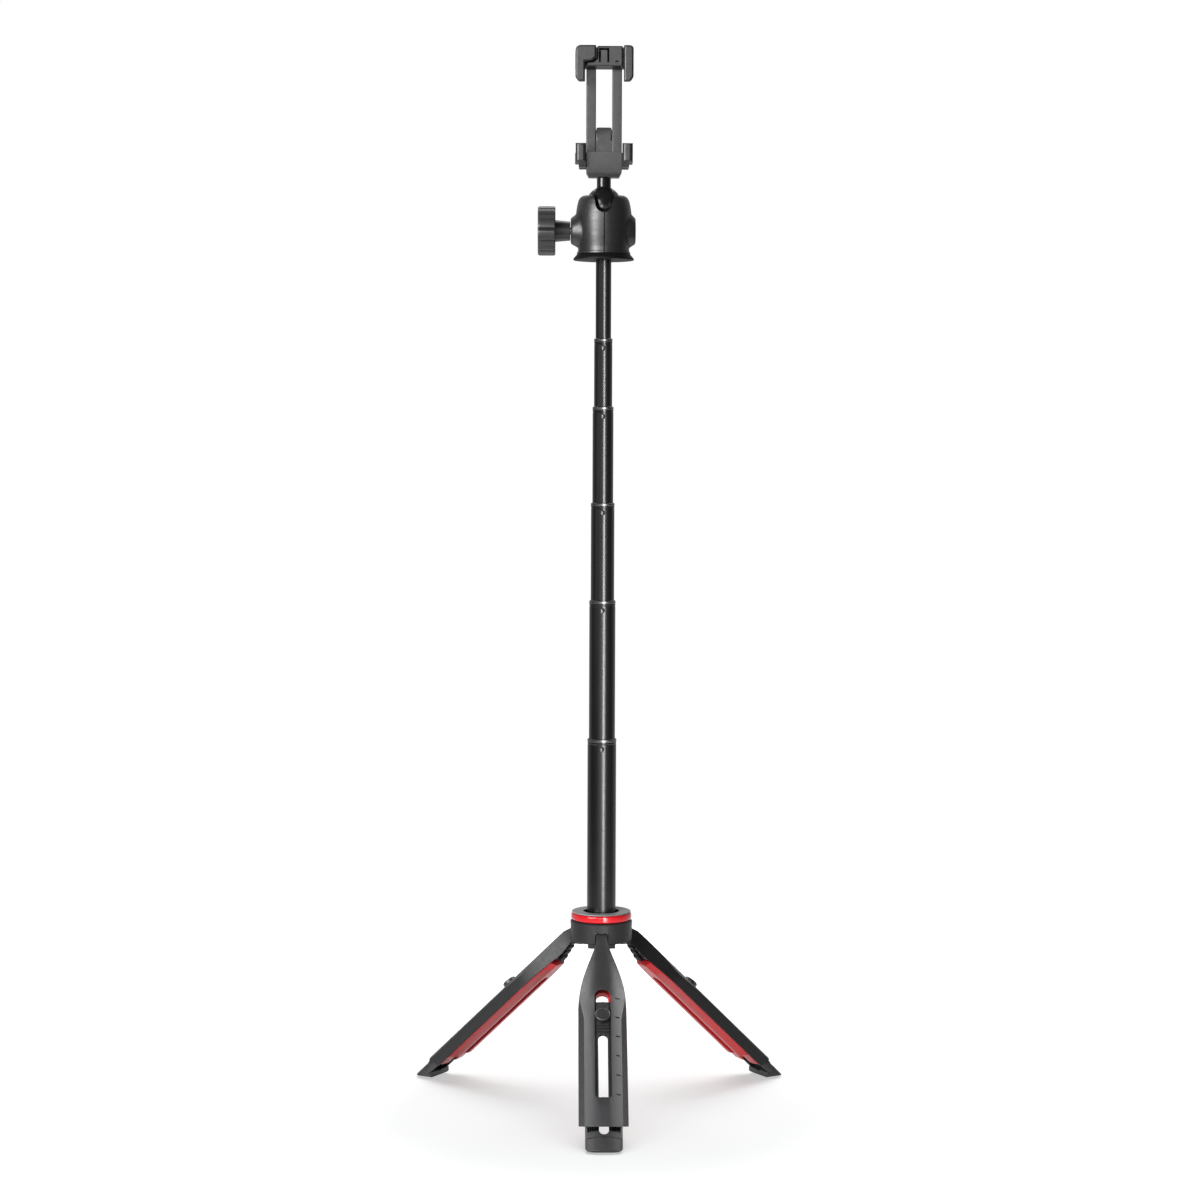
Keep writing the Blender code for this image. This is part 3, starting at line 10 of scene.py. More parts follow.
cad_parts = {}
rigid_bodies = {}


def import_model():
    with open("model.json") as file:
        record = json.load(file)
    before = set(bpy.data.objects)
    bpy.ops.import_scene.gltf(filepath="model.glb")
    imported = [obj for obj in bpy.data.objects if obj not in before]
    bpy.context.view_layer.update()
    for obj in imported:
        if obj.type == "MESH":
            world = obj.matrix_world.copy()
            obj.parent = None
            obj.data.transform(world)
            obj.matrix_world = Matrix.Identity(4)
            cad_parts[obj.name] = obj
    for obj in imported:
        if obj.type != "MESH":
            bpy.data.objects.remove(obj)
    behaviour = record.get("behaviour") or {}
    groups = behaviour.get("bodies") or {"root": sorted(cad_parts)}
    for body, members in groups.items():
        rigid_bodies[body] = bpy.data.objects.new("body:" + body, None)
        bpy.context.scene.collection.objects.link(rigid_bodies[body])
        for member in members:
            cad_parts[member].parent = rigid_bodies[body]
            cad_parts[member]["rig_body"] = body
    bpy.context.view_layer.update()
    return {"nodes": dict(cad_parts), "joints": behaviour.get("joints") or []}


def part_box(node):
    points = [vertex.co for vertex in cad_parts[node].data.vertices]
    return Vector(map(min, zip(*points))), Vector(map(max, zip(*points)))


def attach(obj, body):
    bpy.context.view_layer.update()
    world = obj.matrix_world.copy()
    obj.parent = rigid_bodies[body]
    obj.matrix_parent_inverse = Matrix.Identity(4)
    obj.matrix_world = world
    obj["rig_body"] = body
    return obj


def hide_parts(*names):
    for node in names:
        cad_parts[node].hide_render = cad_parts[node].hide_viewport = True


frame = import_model()
NODES = frame["nodes"]
SIDES = ("front", "right", "left")

# Smoothness of the built pieces
SEGMENTS = 72
SMALL_SEGMENTS = 32
EDGE_STEPS = 3
CORNER_STEPS = 6
CORNER_SHARE = 0.45
SHARP = radians(34.0)
FLAT = radians(0.6)
WELD = 0.000002

# Widths of rounded edges
HAIR_EDGE = 0.0001
FINE_EDGE = 0.0002
CRISP_EDGE = 0.0003
SLIGHT_EDGE = 0.0004
SOFT_EDGE = 0.0005
FULL_EDGE = 0.0006

# Reach of a cutting tool past the solid that it cuts, and of one form into another that it joins
OVERSHOOT = 0.001


def joint(name):
    return next(item for item in frame["joints"] if item["name"] == name)


def middle(node):
    low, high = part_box(node)
    return (low + high) / 2


def corners_of(node, level):
    """Corners of a CAD node, turned into another frame."""
    return [level @ vertex.co for vertex in NODES[node].data.vertices]


POLE = middle("tube_1")


# Outlines

def arc(centre, radius, start, end, count):
    """Points on a circle from the start angle to the end angle, both included."""
    turns = [start + (end - start) * index / (count - 1) for index in range(count)]
    return [(centre[0] + radius * cos(turn), centre[1] + radius * sin(turn)) for turn in turns]


def circle(centre, radius, count):
    """Closed outline of a circle, its first point given once."""
    return arc(centre, radius, 0.0, tau, count + 1)[:-1]


def rounded(points, radius, steps=EDGE_STEPS):
    """Closed outline with its corners rounded, by one radius or one for each; corners on the axis stay."""
    outline = []
    radii = radius if isinstance(radius, (list, tuple)) else [radius] * len(points)
    for index, (corner, wanted) in enumerate(zip(points, radii)):
        here = Vector(corner)
        before = Vector(points[index - 1]) - here
        after = Vector(points[(index + 1) % len(points)]) - here
        reach = min(wanted, before.length * CORNER_SHARE, after.length * CORNER_SHARE)
        if abs(corner[0]) < WELD or reach < WELD:
            outline.append(corner)
            continue
        start = here + before.normalized() * reach
        end = here + after.normalized() * reach
        for step in range(steps + 1):
            share = step / steps
            point = start * (1 - share) ** 2 + here * 2 * share * (1 - share) + end * share ** 2
            outline.append((point.x, point.y))
    return outline


def inset(points, amount):
    """Outline moved inwards by an amount, corner by corner."""
    area = sum(one[0] * two[1] - two[0] * one[1] for one, two in zip(points, points[1:] + points[:1]))
    way = 1.0 if area > 0 else -1.0
    result = []
    for index, corner in enumerate(points):
        here = Vector(corner)
        first = (here - Vector(points[index - 1])).normalized()
        second = (Vector(points[(index + 1) % len(points)]) - here).normalized()
        first, second = Vector((-first.y, first.x)) * way, Vector((-second.y, second.x)) * way
        place = here + (first + second) / (1.0 + first.dot(second)) * amount
        result.append((place.x, place.y))
    return result


def finer(points, parts):
    """Open outline with each run cut into equal parts."""
    result = []
    for first, second in zip(points, points[1:]):
        for step in range(parts):
            share = step / parts
            result.append(tuple(one + (two - one) * share for one, two in zip(first, second)))
    return result + [points[-1]]


def corner_room(corner, inward, radius, steps=8):
    """Outline of the room outside a quarter round at a corner, inward giving the solid's side of it."""
    centre = (corner[0] + inward[0] * radius, corner[1] + inward[1] * radius)
    curve = [(centre[0] - inward[0] * radius * cos(turn), centre[1] - inward[1] * radius * sin(turn))
             for turn in [pi / 2 * step / steps for step in range(steps + 1)]]
    away = (corner[0] - inward[0] * radius, corner[1] - inward[1] * radius)
    return curve + [(centre[0], away[1]), away, (away[0], centre[1])]


# Shapes

def lathe(profile, segments=SEGMENTS):
    """Solid turned about Z from a closed section of (radius, height) points."""
    shape = bmesh.new()
    points = [shape.verts.new((radius, 0.0, height)) for radius, height in profile]
    edges = []
    for first, second in zip(points, points[1:] + points[:1]):
        if max(first.co.x, second.co.x) > WELD:
            edges.append(shape.edges.new((first, second)))
    bmesh.ops.spin(shape, geom=points + edges, cent=(0, 0, 0), axis=(0, 0, 1), angle=tau,
                   steps=segments, use_merge=True)
    bmesh.ops.remove_doubles(shape, verts=shape.verts[:], dist=WELD)
    return shape


def prism(outline, low, high, axis):
    """Solid with a flat outline in the two other axes, from low to high along the axis."""
    order = {"X": (1, 2, 0), "Y": (0, 2, 1), "Z": (0, 1, 2)}[axis]

    def corner(first, second, along):
        point = [0.0, 0.0, 0.0]
        for place, value in zip(order, (first, second, along)):
            point[place] = value
        return point

    shape = bmesh.new()
    base = shape.faces.new([shape.verts.new(corner(first, second, low)) for first, second in outline])
    grown = bmesh.ops.extrude_face_region(shape, geom=[base], use_keep_orig=True)
    far = [item for item in grown["geom"] if isinstance(item, bmesh.types.BMVert)]
    bmesh.ops.translate(shape, verts=far, vec=corner(0.0, 0.0, high - low))
    return shape


def box(low, high):
    outline = [(low[0], low[1]), (high[0], low[1]), (high[0], high[1]), (low[0], high[1])]
    return prism(outline, low[2], high[2], "Z")


def loft(rings):
    """Solid through rings with the same number of points each."""
    shape = bmesh.new()
    rows = [[shape.verts.new(point) for point in ring] for ring in rings]
    for first, second in zip(rows, rows[1:]):
        for index in range(len(first)):
            after = (index + 1) % len(first)
            shape.faces.new((first[index], first[after], second[after], second[index]))
    shape.faces.new(rows[0])
    shape.faces.new(list(reversed(rows[-1])))
    return shape


def pillow(points, radii, front, back, edge):
    """Plate with a soft rounded rim towards the front, its outline in X and Z."""
    rings = []
    for step in range(CORNER_STEPS + 1):
        turn = pi / 2 * step / CORNER_STEPS
        drawn = edge * (1 - sin(turn))
        bends = [max(radius - drawn, FINE_EDGE) for radius in radii]
        outline = rounded(inset(points, drawn), bends, CORNER_STEPS)
        rings.append([(across, front + edge * (1 - cos(turn)), height) for across, height in outline])
    rings.append([(across, back, height) for across, along, height in rings[-1]])
    return loft(rings)


def softened(shape, width):
    """Shape with its sharp edges rounded."""
    bmesh.ops.recalc_face_normals(shape, faces=shape.faces[:])
    sharp = [edge for edge in shape.edges
             if len(edge.link_faces) == 2 and edge.calc_face_angle(0.0) > SHARP]
    bmesh.ops.bevel(shape, geom=sharp, offset=width, offset_type="OFFSET", segments=EDGE_STEPS,
                    profile=0.5, affect="EDGES", clamp_overlap=True)
    return shape


def moved(shape, matrix):
    bmesh.ops.transform(shape, matrix=matrix, verts=shape.verts[:])
    return shape


def on_pole(shape, height=0.0):
    return moved(shape, Matrix.Translation((POLE.x, POLE.y, height)))


def mesh_of(shape, name):
    """Mesh of a shape with its faces turned outwards; the shape is used up."""
    mesh = bpy.data.meshes.new(name)
    bmesh.ops.recalc_face_normals(shape, faces=shape.faces[:])
    shape.to_mesh(mesh)
    shape.free()
    return mesh


def joined(*shapes):
    """Several shapes as one."""
    whole = bmesh.new()
    for shape in shapes:
        mesh = mesh_of(shape, "joined")
        whole.from_mesh(mesh)
        bpy.data.meshes.remove(mesh)
    return whole


def cut(shape, *tools):
    """Shape with the tools' room taken out of it."""
    made = []
    for part in (shape,) + tools:
        made.append(bpy.data.objects.new("cut", mesh_of(part, "cut")))
        bpy.context.scene.collection.objects.link(made[-1])
    for tool in made[1:]:
        change = made[0].modifiers.new("cut", "BOOLEAN")
        change.operation = "DIFFERENCE"
        change.solver = "EXACT"
        change.object = tool
    result = bmesh.new()
    result.from_object(made[0], bpy.context.evaluated_depsgraph_get())
    for item in made:
        bpy.data.objects.remove(item, do_unlink=True)
    bmesh.ops.remove_doubles(result, verts=result.verts[:], dist=WELD)
    return result


# Pieces

def shown(name, shape, finish, crease=SHARP):
    """Named object in a finish, shaded smooth between its creases."""
    mesh = mesh_of(shape, name)
    mesh.shade_smooth()
    mesh.set_sharp_from_angle(angle=crease)
    mesh.materials.append(finish)
    item = bpy.data.objects.new(name, mesh)
    bpy.context.scene.collection.objects.link(item)
    return item


def piece(name, shape, finish, *nodes, crease=SHARP):
    """Named piece that stands for CAD nodes of one body and moves with it."""
    item = shown(name, shape, finish, crease)
    even = item.modifiers.new("even shading", "WEIGHTED_NORMAL")
    even.keep_sharp = True
    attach(item, NODES[nodes[0]]["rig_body"])
    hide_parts(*nodes)
    return item


def detail(name, shape, finish, node):
    """Named piece that rides with a CAD node's body and stands for nothing else."""
    item = shown(name, shape, finish)
    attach(item, NODES[node]["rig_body"])
    return item


def solid_of(node):
    """Clean copy of a CAD node's shape, its flat faces whole again."""
    shape = bmesh.new()
    shape.from_mesh(NODES[node].data)
    bmesh.ops.remove_doubles(shape, verts=shape.verts[:], dist=WELD)
    bmesh.ops.dissolve_limit(shape, angle_limit=FLAT, verts=shape.verts[:], edges=shape.edges[:])
    return shape


def dressed(node, finish, edge):
    """Moulded version of a CAD node, with rounded edges."""
    return piece(node + "_moulded", softened(solid_of(node), edge), finish, node)


# Finishes

# Sockets of a mix node by their numbers, because several share a name
SHARE = 0
VALUES_IN, VALUE_OUT = (2, 3), 0
COLOURS_IN, COLOUR_OUT = (6, 7), 2


def ranged(tree, value, source, target, way="LINEAR"):
    """Value mapped from one range to another."""
    mapping = tree.nodes.new("ShaderNodeMapRange")
    mapping.interpolation_type = way
    for name, limit in zip(("From Min", "From Max", "To Min", "To Max"), source + target):
        mapping.inputs[name].default_value = limit
    tree.links.new(value, mapping.inputs["Value"])
    return mapping.outputs["Result"]


def combined(tree, operation, first, second):
    """Two values combined by one operation, such as their product or the larger of them."""
    node = tree.nodes.new("ShaderNodeMath")
    node.operation = operation
    tree.links.new(first, node.inputs[0])
    tree.links.new(second, node.inputs[1])
    return node.outputs[0]


class Finish:
    """Builder of one procedural material, in object coordinates."""

    NOISE_RANGE = (0.3, 0.7)
    EDGE_RANGE = (0.52, 0.62)

    def __init__(self, name, slot):
        self.material = bpy.data.materials.new(name)
        self.material.use_nodes = True
        self.material["slot"] = slot
        self.tree = self.material.node_tree
        self.shader = self.tree.nodes["Principled BSDF"]
        self.place = self.tree.nodes.new("ShaderNodeTexCoord").outputs["Object"]

    def link(self, output, target):
        self.tree.links.new(output, target)

    def stretched(self, scale):
        mapping = self.tree.nodes.new("ShaderNodeMapping")
        mapping.inputs["Scale"].default_value = scale
        self.link(self.place, mapping.inputs["Vector"])
        return mapping.outputs["Vector"]

    def noise(self, scale, fine=3.0, stretch=None):
        texture = self.tree.nodes.new("ShaderNodeTexNoise")
        texture.inputs["Scale"].default_value = scale
        texture.inputs["Detail"].default_value = fine
        self.link(self.stretched(stretch) if stretch else self.place, texture.inputs["Vector"])
        return texture.outputs["Fac"]

    def mixed(self, share, first, second):
        """Mix of two colours, each a colour or another node's output."""
        blend = self.tree.nodes.new("ShaderNodeMix")
        blend.data_type = "RGBA"
        for place, colour in zip(COLOURS_IN, (first, second)):
            if isinstance(colour, bpy.types.NodeSocket):
                self.link(colour, blend.inputs[place])
            else:
                blend.inputs[place].default_value = (*colour, 1.0)
        self.link(share, blend.inputs[SHARE])
        return blend.outputs[COLOUR_OUT]

    def mottled(self, colour, dark, scale):
        """Colour with patches in a darker share of itself."""
        patches = ranged(self.tree, self.noise(scale), self.NOISE_RANGE, (0.0, 1.0))
        return self.mixed(patches, [dark * part for part in colour], colour)

    def worn(self, amount):
        """Share of wear along the outer edges."""
        geometry = self.tree.nodes.new("ShaderNodeNewGeometry")
        return ranged(self.tree, geometry.outputs["Pointiness"], self.EDGE_RANGE, (0.0, amount))

    def paint(self, colour):
        self.link(colour, self.shader.inputs["Base Color"])

    def roughen(self, noise, roughness, less, more):
        """Roughness that wanders with a noise about its usual value."""
        wander = ranged(self.tree, noise, self.NOISE_RANGE, (roughness - less, roughness + more))
        self.link(wander, self.shader.inputs["Roughness"])

    def bump(self, height, strength, distance):
        node = self.tree.nodes.new("ShaderNodeBump")
        node.inputs["Strength"].default_value = strength
        node.inputs["Distance"].default_value = distance
        self.link(height, node.inputs["Height"])
        self.link(node.outputs["Normal"], self.shader.inputs["Normal"])

    def set(self, **values):
        for name, value in values.items():
            self.shader.inputs[name.replace("_", " ")].default_value = value


def moulded(name, slot, colour, edge_colour, roughness, grain=0.07, specular=0.5):
    """Moulded plastic with a fine spark-eroded grain, paler along its worn edges."""
    finish = Finish(name, slot)
    base = finish.mottled(colour, dark=0.86, scale=160.0)
    finish.paint(finish.mixed(finish.worn(0.5), base, edge_colour))
    finish.roughen(finish.noise(420.0), roughness, less=0.05, more=0.06)
    finish.bump(finish.noise(2600.0, fine=2.0), strength=grain, distance=0.00012)
    finish.set(Specular_IOR_Level=specular)
    return finish.material


def anodised(name, slot, colour, roughness):
    """Drawn tube with a gloss black coat and faint draw lines along it."""
    finish = Finish(name, slot)
    lines = finish.noise(260.0, fine=1.0, stretch=(1.0, 1.0, 0.002))
    finish.paint(finish.mottled(colour, dark=0.8, scale=60.0))
    finish.roughen(lines, roughness, less=0.03, more=0.04)
    return finish.material


def bare_metal(name, slot, colour, roughness):
    """Turned metal with fine rings and a little tarnish."""
    finish = Finish(name, slot)
    rings = finish.noise(1400.0, fine=2.0, stretch=(0.05, 0.05, 1.0))
    finish.paint(finish.mottled(colour, dark=0.7, scale=240.0))
    finish.roughen(rings, roughness, less=0.06, more=0.08)
    finish.bump(rings, strength=0.1, distance=0.00005)
    finish.set(Metallic=1.0)
    return finish.material


def glossy(name, slot, colour, roughness):
    """Gloss plastic with a faint orange peel under its polish."""
    finish = Finish(name, slot)
    finish.paint(finish.mottled(colour, dark=0.88, scale=110.0))
    finish.roughen(finish.noise(300.0), roughness, less=0.03, more=0.05)
    finish.bump(finish.noise(220.0, fine=1.0), strength=0.02, distance=0.00005)
    return finish.material


PLASTIC = moulded("grained_black", "moulded_black", (0.016, 0.016, 0.017), (0.04, 0.04, 0.042), 0.36)
# Darker, duller copy of the grained plastic: painted shade on the leg shells' flanks; the hub body takes it
# as well
SHADED = moulded("hub_tone_and_painted_shade", "moulded_black", (0.009, 0.009, 0.0096), (0.024, 0.024, 0.025), 0.44,
                 specular=0.22)
# Darkest, dullest copy of the grained plastic: painted shade over the head's base flange, whose underside
# lies in shade; the leg knuckles are made as dark
DEEP = moulded("knuckle_black_and_painted_shade", "moulded_black", (0.005, 0.005, 0.0052), (0.014, 0.014, 0.0145), 0.5,
               specular=0.12)
KNOB = moulded("knob_grain", "knob_black", (0.02, 0.02, 0.0215), (0.045, 0.045, 0.047), 0.36)
SOLE = moulded("sole_black", "moulded_black", (0.016, 0.016, 0.017), (0.034, 0.034, 0.036), 0.42, 0.1)
RUBBER = moulded("pad_rubber", "rubber_black", (0.014, 0.014, 0.014), (0.025, 0.025, 0.025), 0.75, 0.4)
NYLON = moulded("seat_nylon_grain", "seat_nylon", (0.05, 0.05, 0.052), (0.08, 0.08, 0.082), 0.5)
RED = moulded("liner_red", "satin_red", (0.6, 0.024, 0.03), (0.7, 0.045, 0.052), 0.36, 0.05)
BEZEL = moulded("bezel_satin", "bezel_grey", (0.21, 0.21, 0.215), (0.32, 0.32, 0.325), 0.42)
RED_GLOSS = glossy("ring_red", "gloss_red", (0.36, 0.005, 0.009), 0.17)
BLACK_GLOSS = glossy("ball_black", "black_steel", (0.008, 0.008, 0.009), 0.22)
TUBE = anodised("tube_black", "anodised_black", (0.006, 0.006, 0.0065), 0.27)
# Pale metal on the tubes' rounded rims: painted highlight for the light that the anodised ends catch from
# above
RIM = bare_metal("tube_rim", "anodised_black", (0.20, 0.20, 0.205), 0.34)
STEEL = bare_metal("bright_steel", "steel", (0.5, 0.5, 0.51), 0.28)
BRASS = bare_metal("insert_brass", "brass", (0.6, 0.42, 0.18), 0.32)
# Flat black: printed ink on the scale ticks, and painted shade in the head's seam, under the shells' ends and
# in the cover's cuts
INK_AND_SHADE = moulded("print_ink_and_painted_shade", "rubber_black", (0.002, 0.002, 0.002), (0.003, 0.003, 0.003), 0.6,
              specular=0.0)


# Pole

TUBE_COUNT = 6
TUBE_WALL = 0.0005
GUIDE_ROOM = 0.00015
RIM_HEIGHT = 0.0024
RIM_PROUD = 0.0001
RIM_ROUND = 0.0005
CRIMP_DROP = 0.0042
CRIMP_DEPTH = 0.0002
CRIMP_WIDTH = 0.0007
DIMPLE_TURNS = (-pi / 2, pi / 2)
DIMPLE_DROP = 0.0073
DIMPLE_RADIUS = 0.0021
DIMPLE_DEPTH = 0.0004
DIMPLE_SPAN = 1.3
DIMPLE_STEPS = 9
DIMPLE_CREASE = radians(12.0)


def dimple_tool(radius, turn, height):
    """Shallow cap of a ball, set into the tube's wall."""
    ball = (DIMPLE_RADIUS ** 2 + DIMPLE_DEPTH ** 2) / (2 * DIMPLE_DEPTH)
    end = -pi / 2 + DIMPLE_SPAN * asin(DIMPLE_RADIUS / ball)
    cap = arc((0.0, ball - DIMPLE_DEPTH), ball, -pi / 2, end, DIMPLE_STEPS)
    cap[0] = (0.0, -DIMPLE_DEPTH)
    shape = lathe(cap + [(0.0, cap[-1][1])], SMALL_SEGMENTS)
    return moved(shape, Matrix.Translation((radius * cos(turn), radius * sin(turn), height))
                 @ Matrix.Rotation(turn, 4, "Z") @ Matrix.Rotation(pi / 2, 4, "Y"))


def build_rim(number, radius, top):
    """Ring in the mouth of a tube, round the next tube; its pale metal colour is a painted highlight on the
    tube's end.
    """
    below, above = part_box("tube_%d" % (number + 1))
    guide = (above.x - below.x) / 2 + GUIDE_ROOM
    outer = radius + RIM_PROUD
    ring = [(guide, top - RIM_HEIGHT), (outer, top - RIM_HEIGHT), (outer, top - RIM_ROUND),
            (radius - RIM_ROUND, top), (guide, top)]
    shape = on_pole(lathe(rounded(ring, RIM_ROUND)))
    return detail("tube_%d_rim" % number, shape, RIM, "tube_%d" % number)


def build_tube(number):
    """Drawn tube; all but the last have a crimp, a pale rim whose colour is a painted highlight, and a pair
    of locating dimples at the mouth.
    """
    node = "tube_%d" % number
    low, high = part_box(node)
    radius = (high.x - low.x) / 2
    bore = radius - TUBE_WALL
    top = high.z
    wall = [(bore, low.z), (radius, low.z)]
    if number == TUBE_COUNT:
        made = []
        tube = lathe(rounded(wall + [(radius, top), (bore, top)], FINE_EDGE))
    else:
        crimp = top - CRIMP_DROP
        wall += [
            (radius, crimp - CRIMP_WIDTH),
            (radius - CRIMP_DEPTH, crimp),
            (radius, crimp + CRIMP_WIDTH),
            (radius, top - RIM_HEIGHT),
            (bore, top - RIM_HEIGHT),
        ]
        made = [build_rim(number, radius, top)]
        dimples = [dimple_tool(radius, turn, top - DIMPLE_DROP) for turn in DIMPLE_TURNS]
        tube = cut(lathe(rounded(wall, FINE_EDGE)), *dimples)
    made.append(piece("tube_%d_drawn" % number, on_pole(tube), TUBE, node, crease=DIMPLE_CREASE))
    return made


def build_pole():
    made = []
    for number in range(1, TUBE_COUNT + 1):
        made += build_tube(number)
        if number > 1:
            dressed("end_plug_%d" % number, NYLON, FINE_EDGE)
    dressed("pole_foot_plug", NYLON, CRISP_EDGE)
    return made


# Legs

CROWN_RADIUS = 0.03
FLANK = 0.55
TICK_COUNT = 6
TICK_START = 0.0628
TICK_PITCH = 0.0166
TICK_ACROSS = -0.0108
TICK_LENGTH = 0.0032
TICK_WIDTH = 0.0008
TICK_RISE = 0.00004
SOLE_RISE = 0.0021
SOLE_FLAT = 0.1
SOLE_STEPS = 12
FOOT_EDGE = 0.0011
FOOT_MERGE = 0.0009
FOOT_ROOM = 0.03
TOE_ROUND = 0.008
TOE_END = -pi / 10
TOE_STEPS = 12
TOE_CORNER = 0.0075
HEEL_CUT = 0.008
COMB_TEETH = 15
COMB_PITCH = 0.0016
COMB_TOOTH = 0.0012
COMB_REACH = 0.0016
COMB_CURVE = 0.028
COMB_RISE = 0.0004
COMB_ROOM = 0.0002
COMB_GAP = 0.0042


def leg_heading(side):
    """Turn about Z that brings Y to the way a leg points."""
    along = joint(side + "_leg_extend")["axis"]
    return Matrix.Rotation(atan2(along[1], along[0]) - pi / 2, 4, "Z")


def leg_frame(side):
    """Leg's own frame at its pin: x across, y outwards, z up along it."""
    pin = Matrix.Translation(joint(side + "_leg_fold")["pos_m"])
    spread = acos(-joint(side + "_leg_extend")["axis"][2])
    return pin @ leg_heading(side) @ Matrix.Rotation(spread, 4, "X")


def build_ticks(side):
    """Short scale marks beside the slot."""
    shell = "leg_shell_" + side
    crown = max(corner.y for corner in corners_of(shell, leg_frame(side).inverted()))
    top = crown - CROWN_RADIUS + sqrt(CROWN_RADIUS ** 2 - TICK_ACROSS ** 2)
    lean = -asin(TICK_ACROSS / CROWN_RADIUS)
    turn = Matrix.Rotation(lean, 4, "Z") @ Matrix.Rotation(-pi / 2, 4, "X")
    low = (-TICK_LENGTH / 2, -TICK_WIDTH / 2, -TICK_WIDTH)
    high = (TICK_LENGTH / 2, TICK_WIDTH / 2, TICK_RISE)
    for index in range(TICK_COUNT):
        place = Matrix.Translation((TICK_ACROSS, top, -TICK_START - TICK_PITCH * index))
        mark = moved(softened(box(low, high), TICK_RISE), leg_frame(side) @ place @ turn)
        detail("leg_tick_%s_%d" % (side, index + 1), mark, INK_AND_SHADE, shell)


def build_foot(side):
    """Rubber foot: its sole curves up to both sides and the toe, and its heel is cut short."""
    node = "leg_foot_" + side
    heading = leg_heading(side)
    across, along, up = zip(*corners_of(node, heading.inverted()))
    half = (max(across) - min(across)) / 2
    centre = (max(across) + min(across)) / 2
    heel, toe, floor = min(along), max(along), min(up)
    under = floor - 2 * OVERSHOOT
    shares = [SOLE_FLAT + (1 - SOLE_FLAT) * step / SOLE_STEPS for step in range(SOLE_STEPS + 1)]
    tools = []
    for out in (-1, 1):
        curve = [(centre + out * half * share, floor + SOLE_RISE * share ** 2) for share in shares]
        away = centre + out * (half + 2 * OVERSHOOT)
        outline = curve + [(away, floor + SOLE_RISE), (away, under), (curve[0][0], under)]
        tools.append(prism(outline, heel - 10 * OVERSHOOT, toe + 10 * OVERSHOOT, "Y"))
    curve = arc((toe - TOE_ROUND, floor + TOE_ROUND), TOE_ROUND, -pi / 2, TOE_END, TOE_STEPS)
    ahead = toe + 4 * OVERSHOOT
    blunt = curve + [(ahead, curve[-1][1]), (ahead, under), (toe - TOE_ROUND, under)]
    tools.append(prism(blunt, centre - 2 * half, centre + 2 * half, "X"))
    for out in (-1, 1):
        corner = corner_room((centre + out * half, toe), (-out, -1), TOE_CORNER)
        tools.append(prism(corner, floor - 3 * OVERSHOOT, floor + FOOT_ROOM, "Z"))
    tools.append(box((centre - 2 * half, heel - 4 * OVERSHOOT, under),
                     (centre + 2 * half, heel + HEEL_CUT, floor + FOOT_ROOM)))
    shape = cut(solid_of(node), *[moved(tool, heading) for tool in tools])
    bmesh.ops.remove_doubles(shape, verts=shape.verts[:], dist=FOOT_MERGE)
    return piece(node + "_moulded", softened(shape, FOOT_EDGE), SOLE, node)


def build_shadow_comb(side):
    """Dark teeth over the sliding bar where it leaves the shell: painted shadow under the shell's end."""
    shell = "leg_shell_" + side
    level = leg_frame(side).inverted()
    end = min(corner.z for corner in corners_of(shell, level))
    top = max(corner.y for corner in corners_of("leg_foot_" + side, level)) + COMB_ROOM
    teeth = []
    for index in range(COMB_TEETH):
        across = (index - (COMB_TEETH - 1) / 2) * COMB_PITCH
        if abs(across) > COMB_GAP:
            rest = top - COMB_CURVE + sqrt(COMB_CURVE ** 2 - across ** 2)
            tooth = box((across - COMB_TOOTH / 2, rest, end - COMB_REACH),
                        (across + COMB_TOOTH / 2, rest + COMB_RISE, end + COMB_REACH))
            teeth.append(softened(tooth, HAIR_EDGE))
    detail("leg_shadow_comb_" + side, moved(joined(*teeth), leg_frame(side)), INK_AND_SHADE, shell)


def build_shell(side):
    """Leg shell: satin crown between flanks darkened with painted shade."""
    shell = dressed("leg_shell_" + side, PLASTIC, SOFT_EDGE)
    # Faces turned far to the side take the darker copy: painted shade on the flanks
    shell.data.materials.append(SHADED)
    across = leg_frame(side).to_3x3().col[0]
    for face in shell.data.polygons:
        if abs(face.normal.dot(across)) > FLANK:
            face.material_index = 1
    return shell


def build_leg(side):
    dressed("leg_knuckle_" + side, DEEP, CRISP_EDGE)
    dressed("leg_liner_" + side, RED, SOFT_EDGE)
    dressed("hinge_pin_" + side, STEEL, FINE_EDGE)
    build_ticks(side)
    build_shadow_comb(side)
    return [
        build_shell(side),
        dressed("leg_extension_" + side, PLASTIC, CRISP_EDGE),
        dressed("lock_button_" + side, PLASTIC, FULL_EDGE),
        build_foot(side),
    ]


# Hub

def build_hub():
    trim = [dressed("hub_body", SHADED, SOFT_EDGE), dressed("hub_trim_ring", RED_GLOSS, SOFT_EDGE)]
    dressed("hub_bezel", BEZEL, CRISP_EDGE)
    dressed("hub_bolt", STEEL, CRISP_EDGE)
    dressed("hub_floor_cap", PLASTIC, SLIGHT_EDGE)
    return trim


# Ball head

HOUSING_LOW, HOUSING_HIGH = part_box("housing_left")
HOUSING_HEIGHT = HOUSING_HIGH.z - HOUSING_LOW.z
HOUSING_PARTS = 4
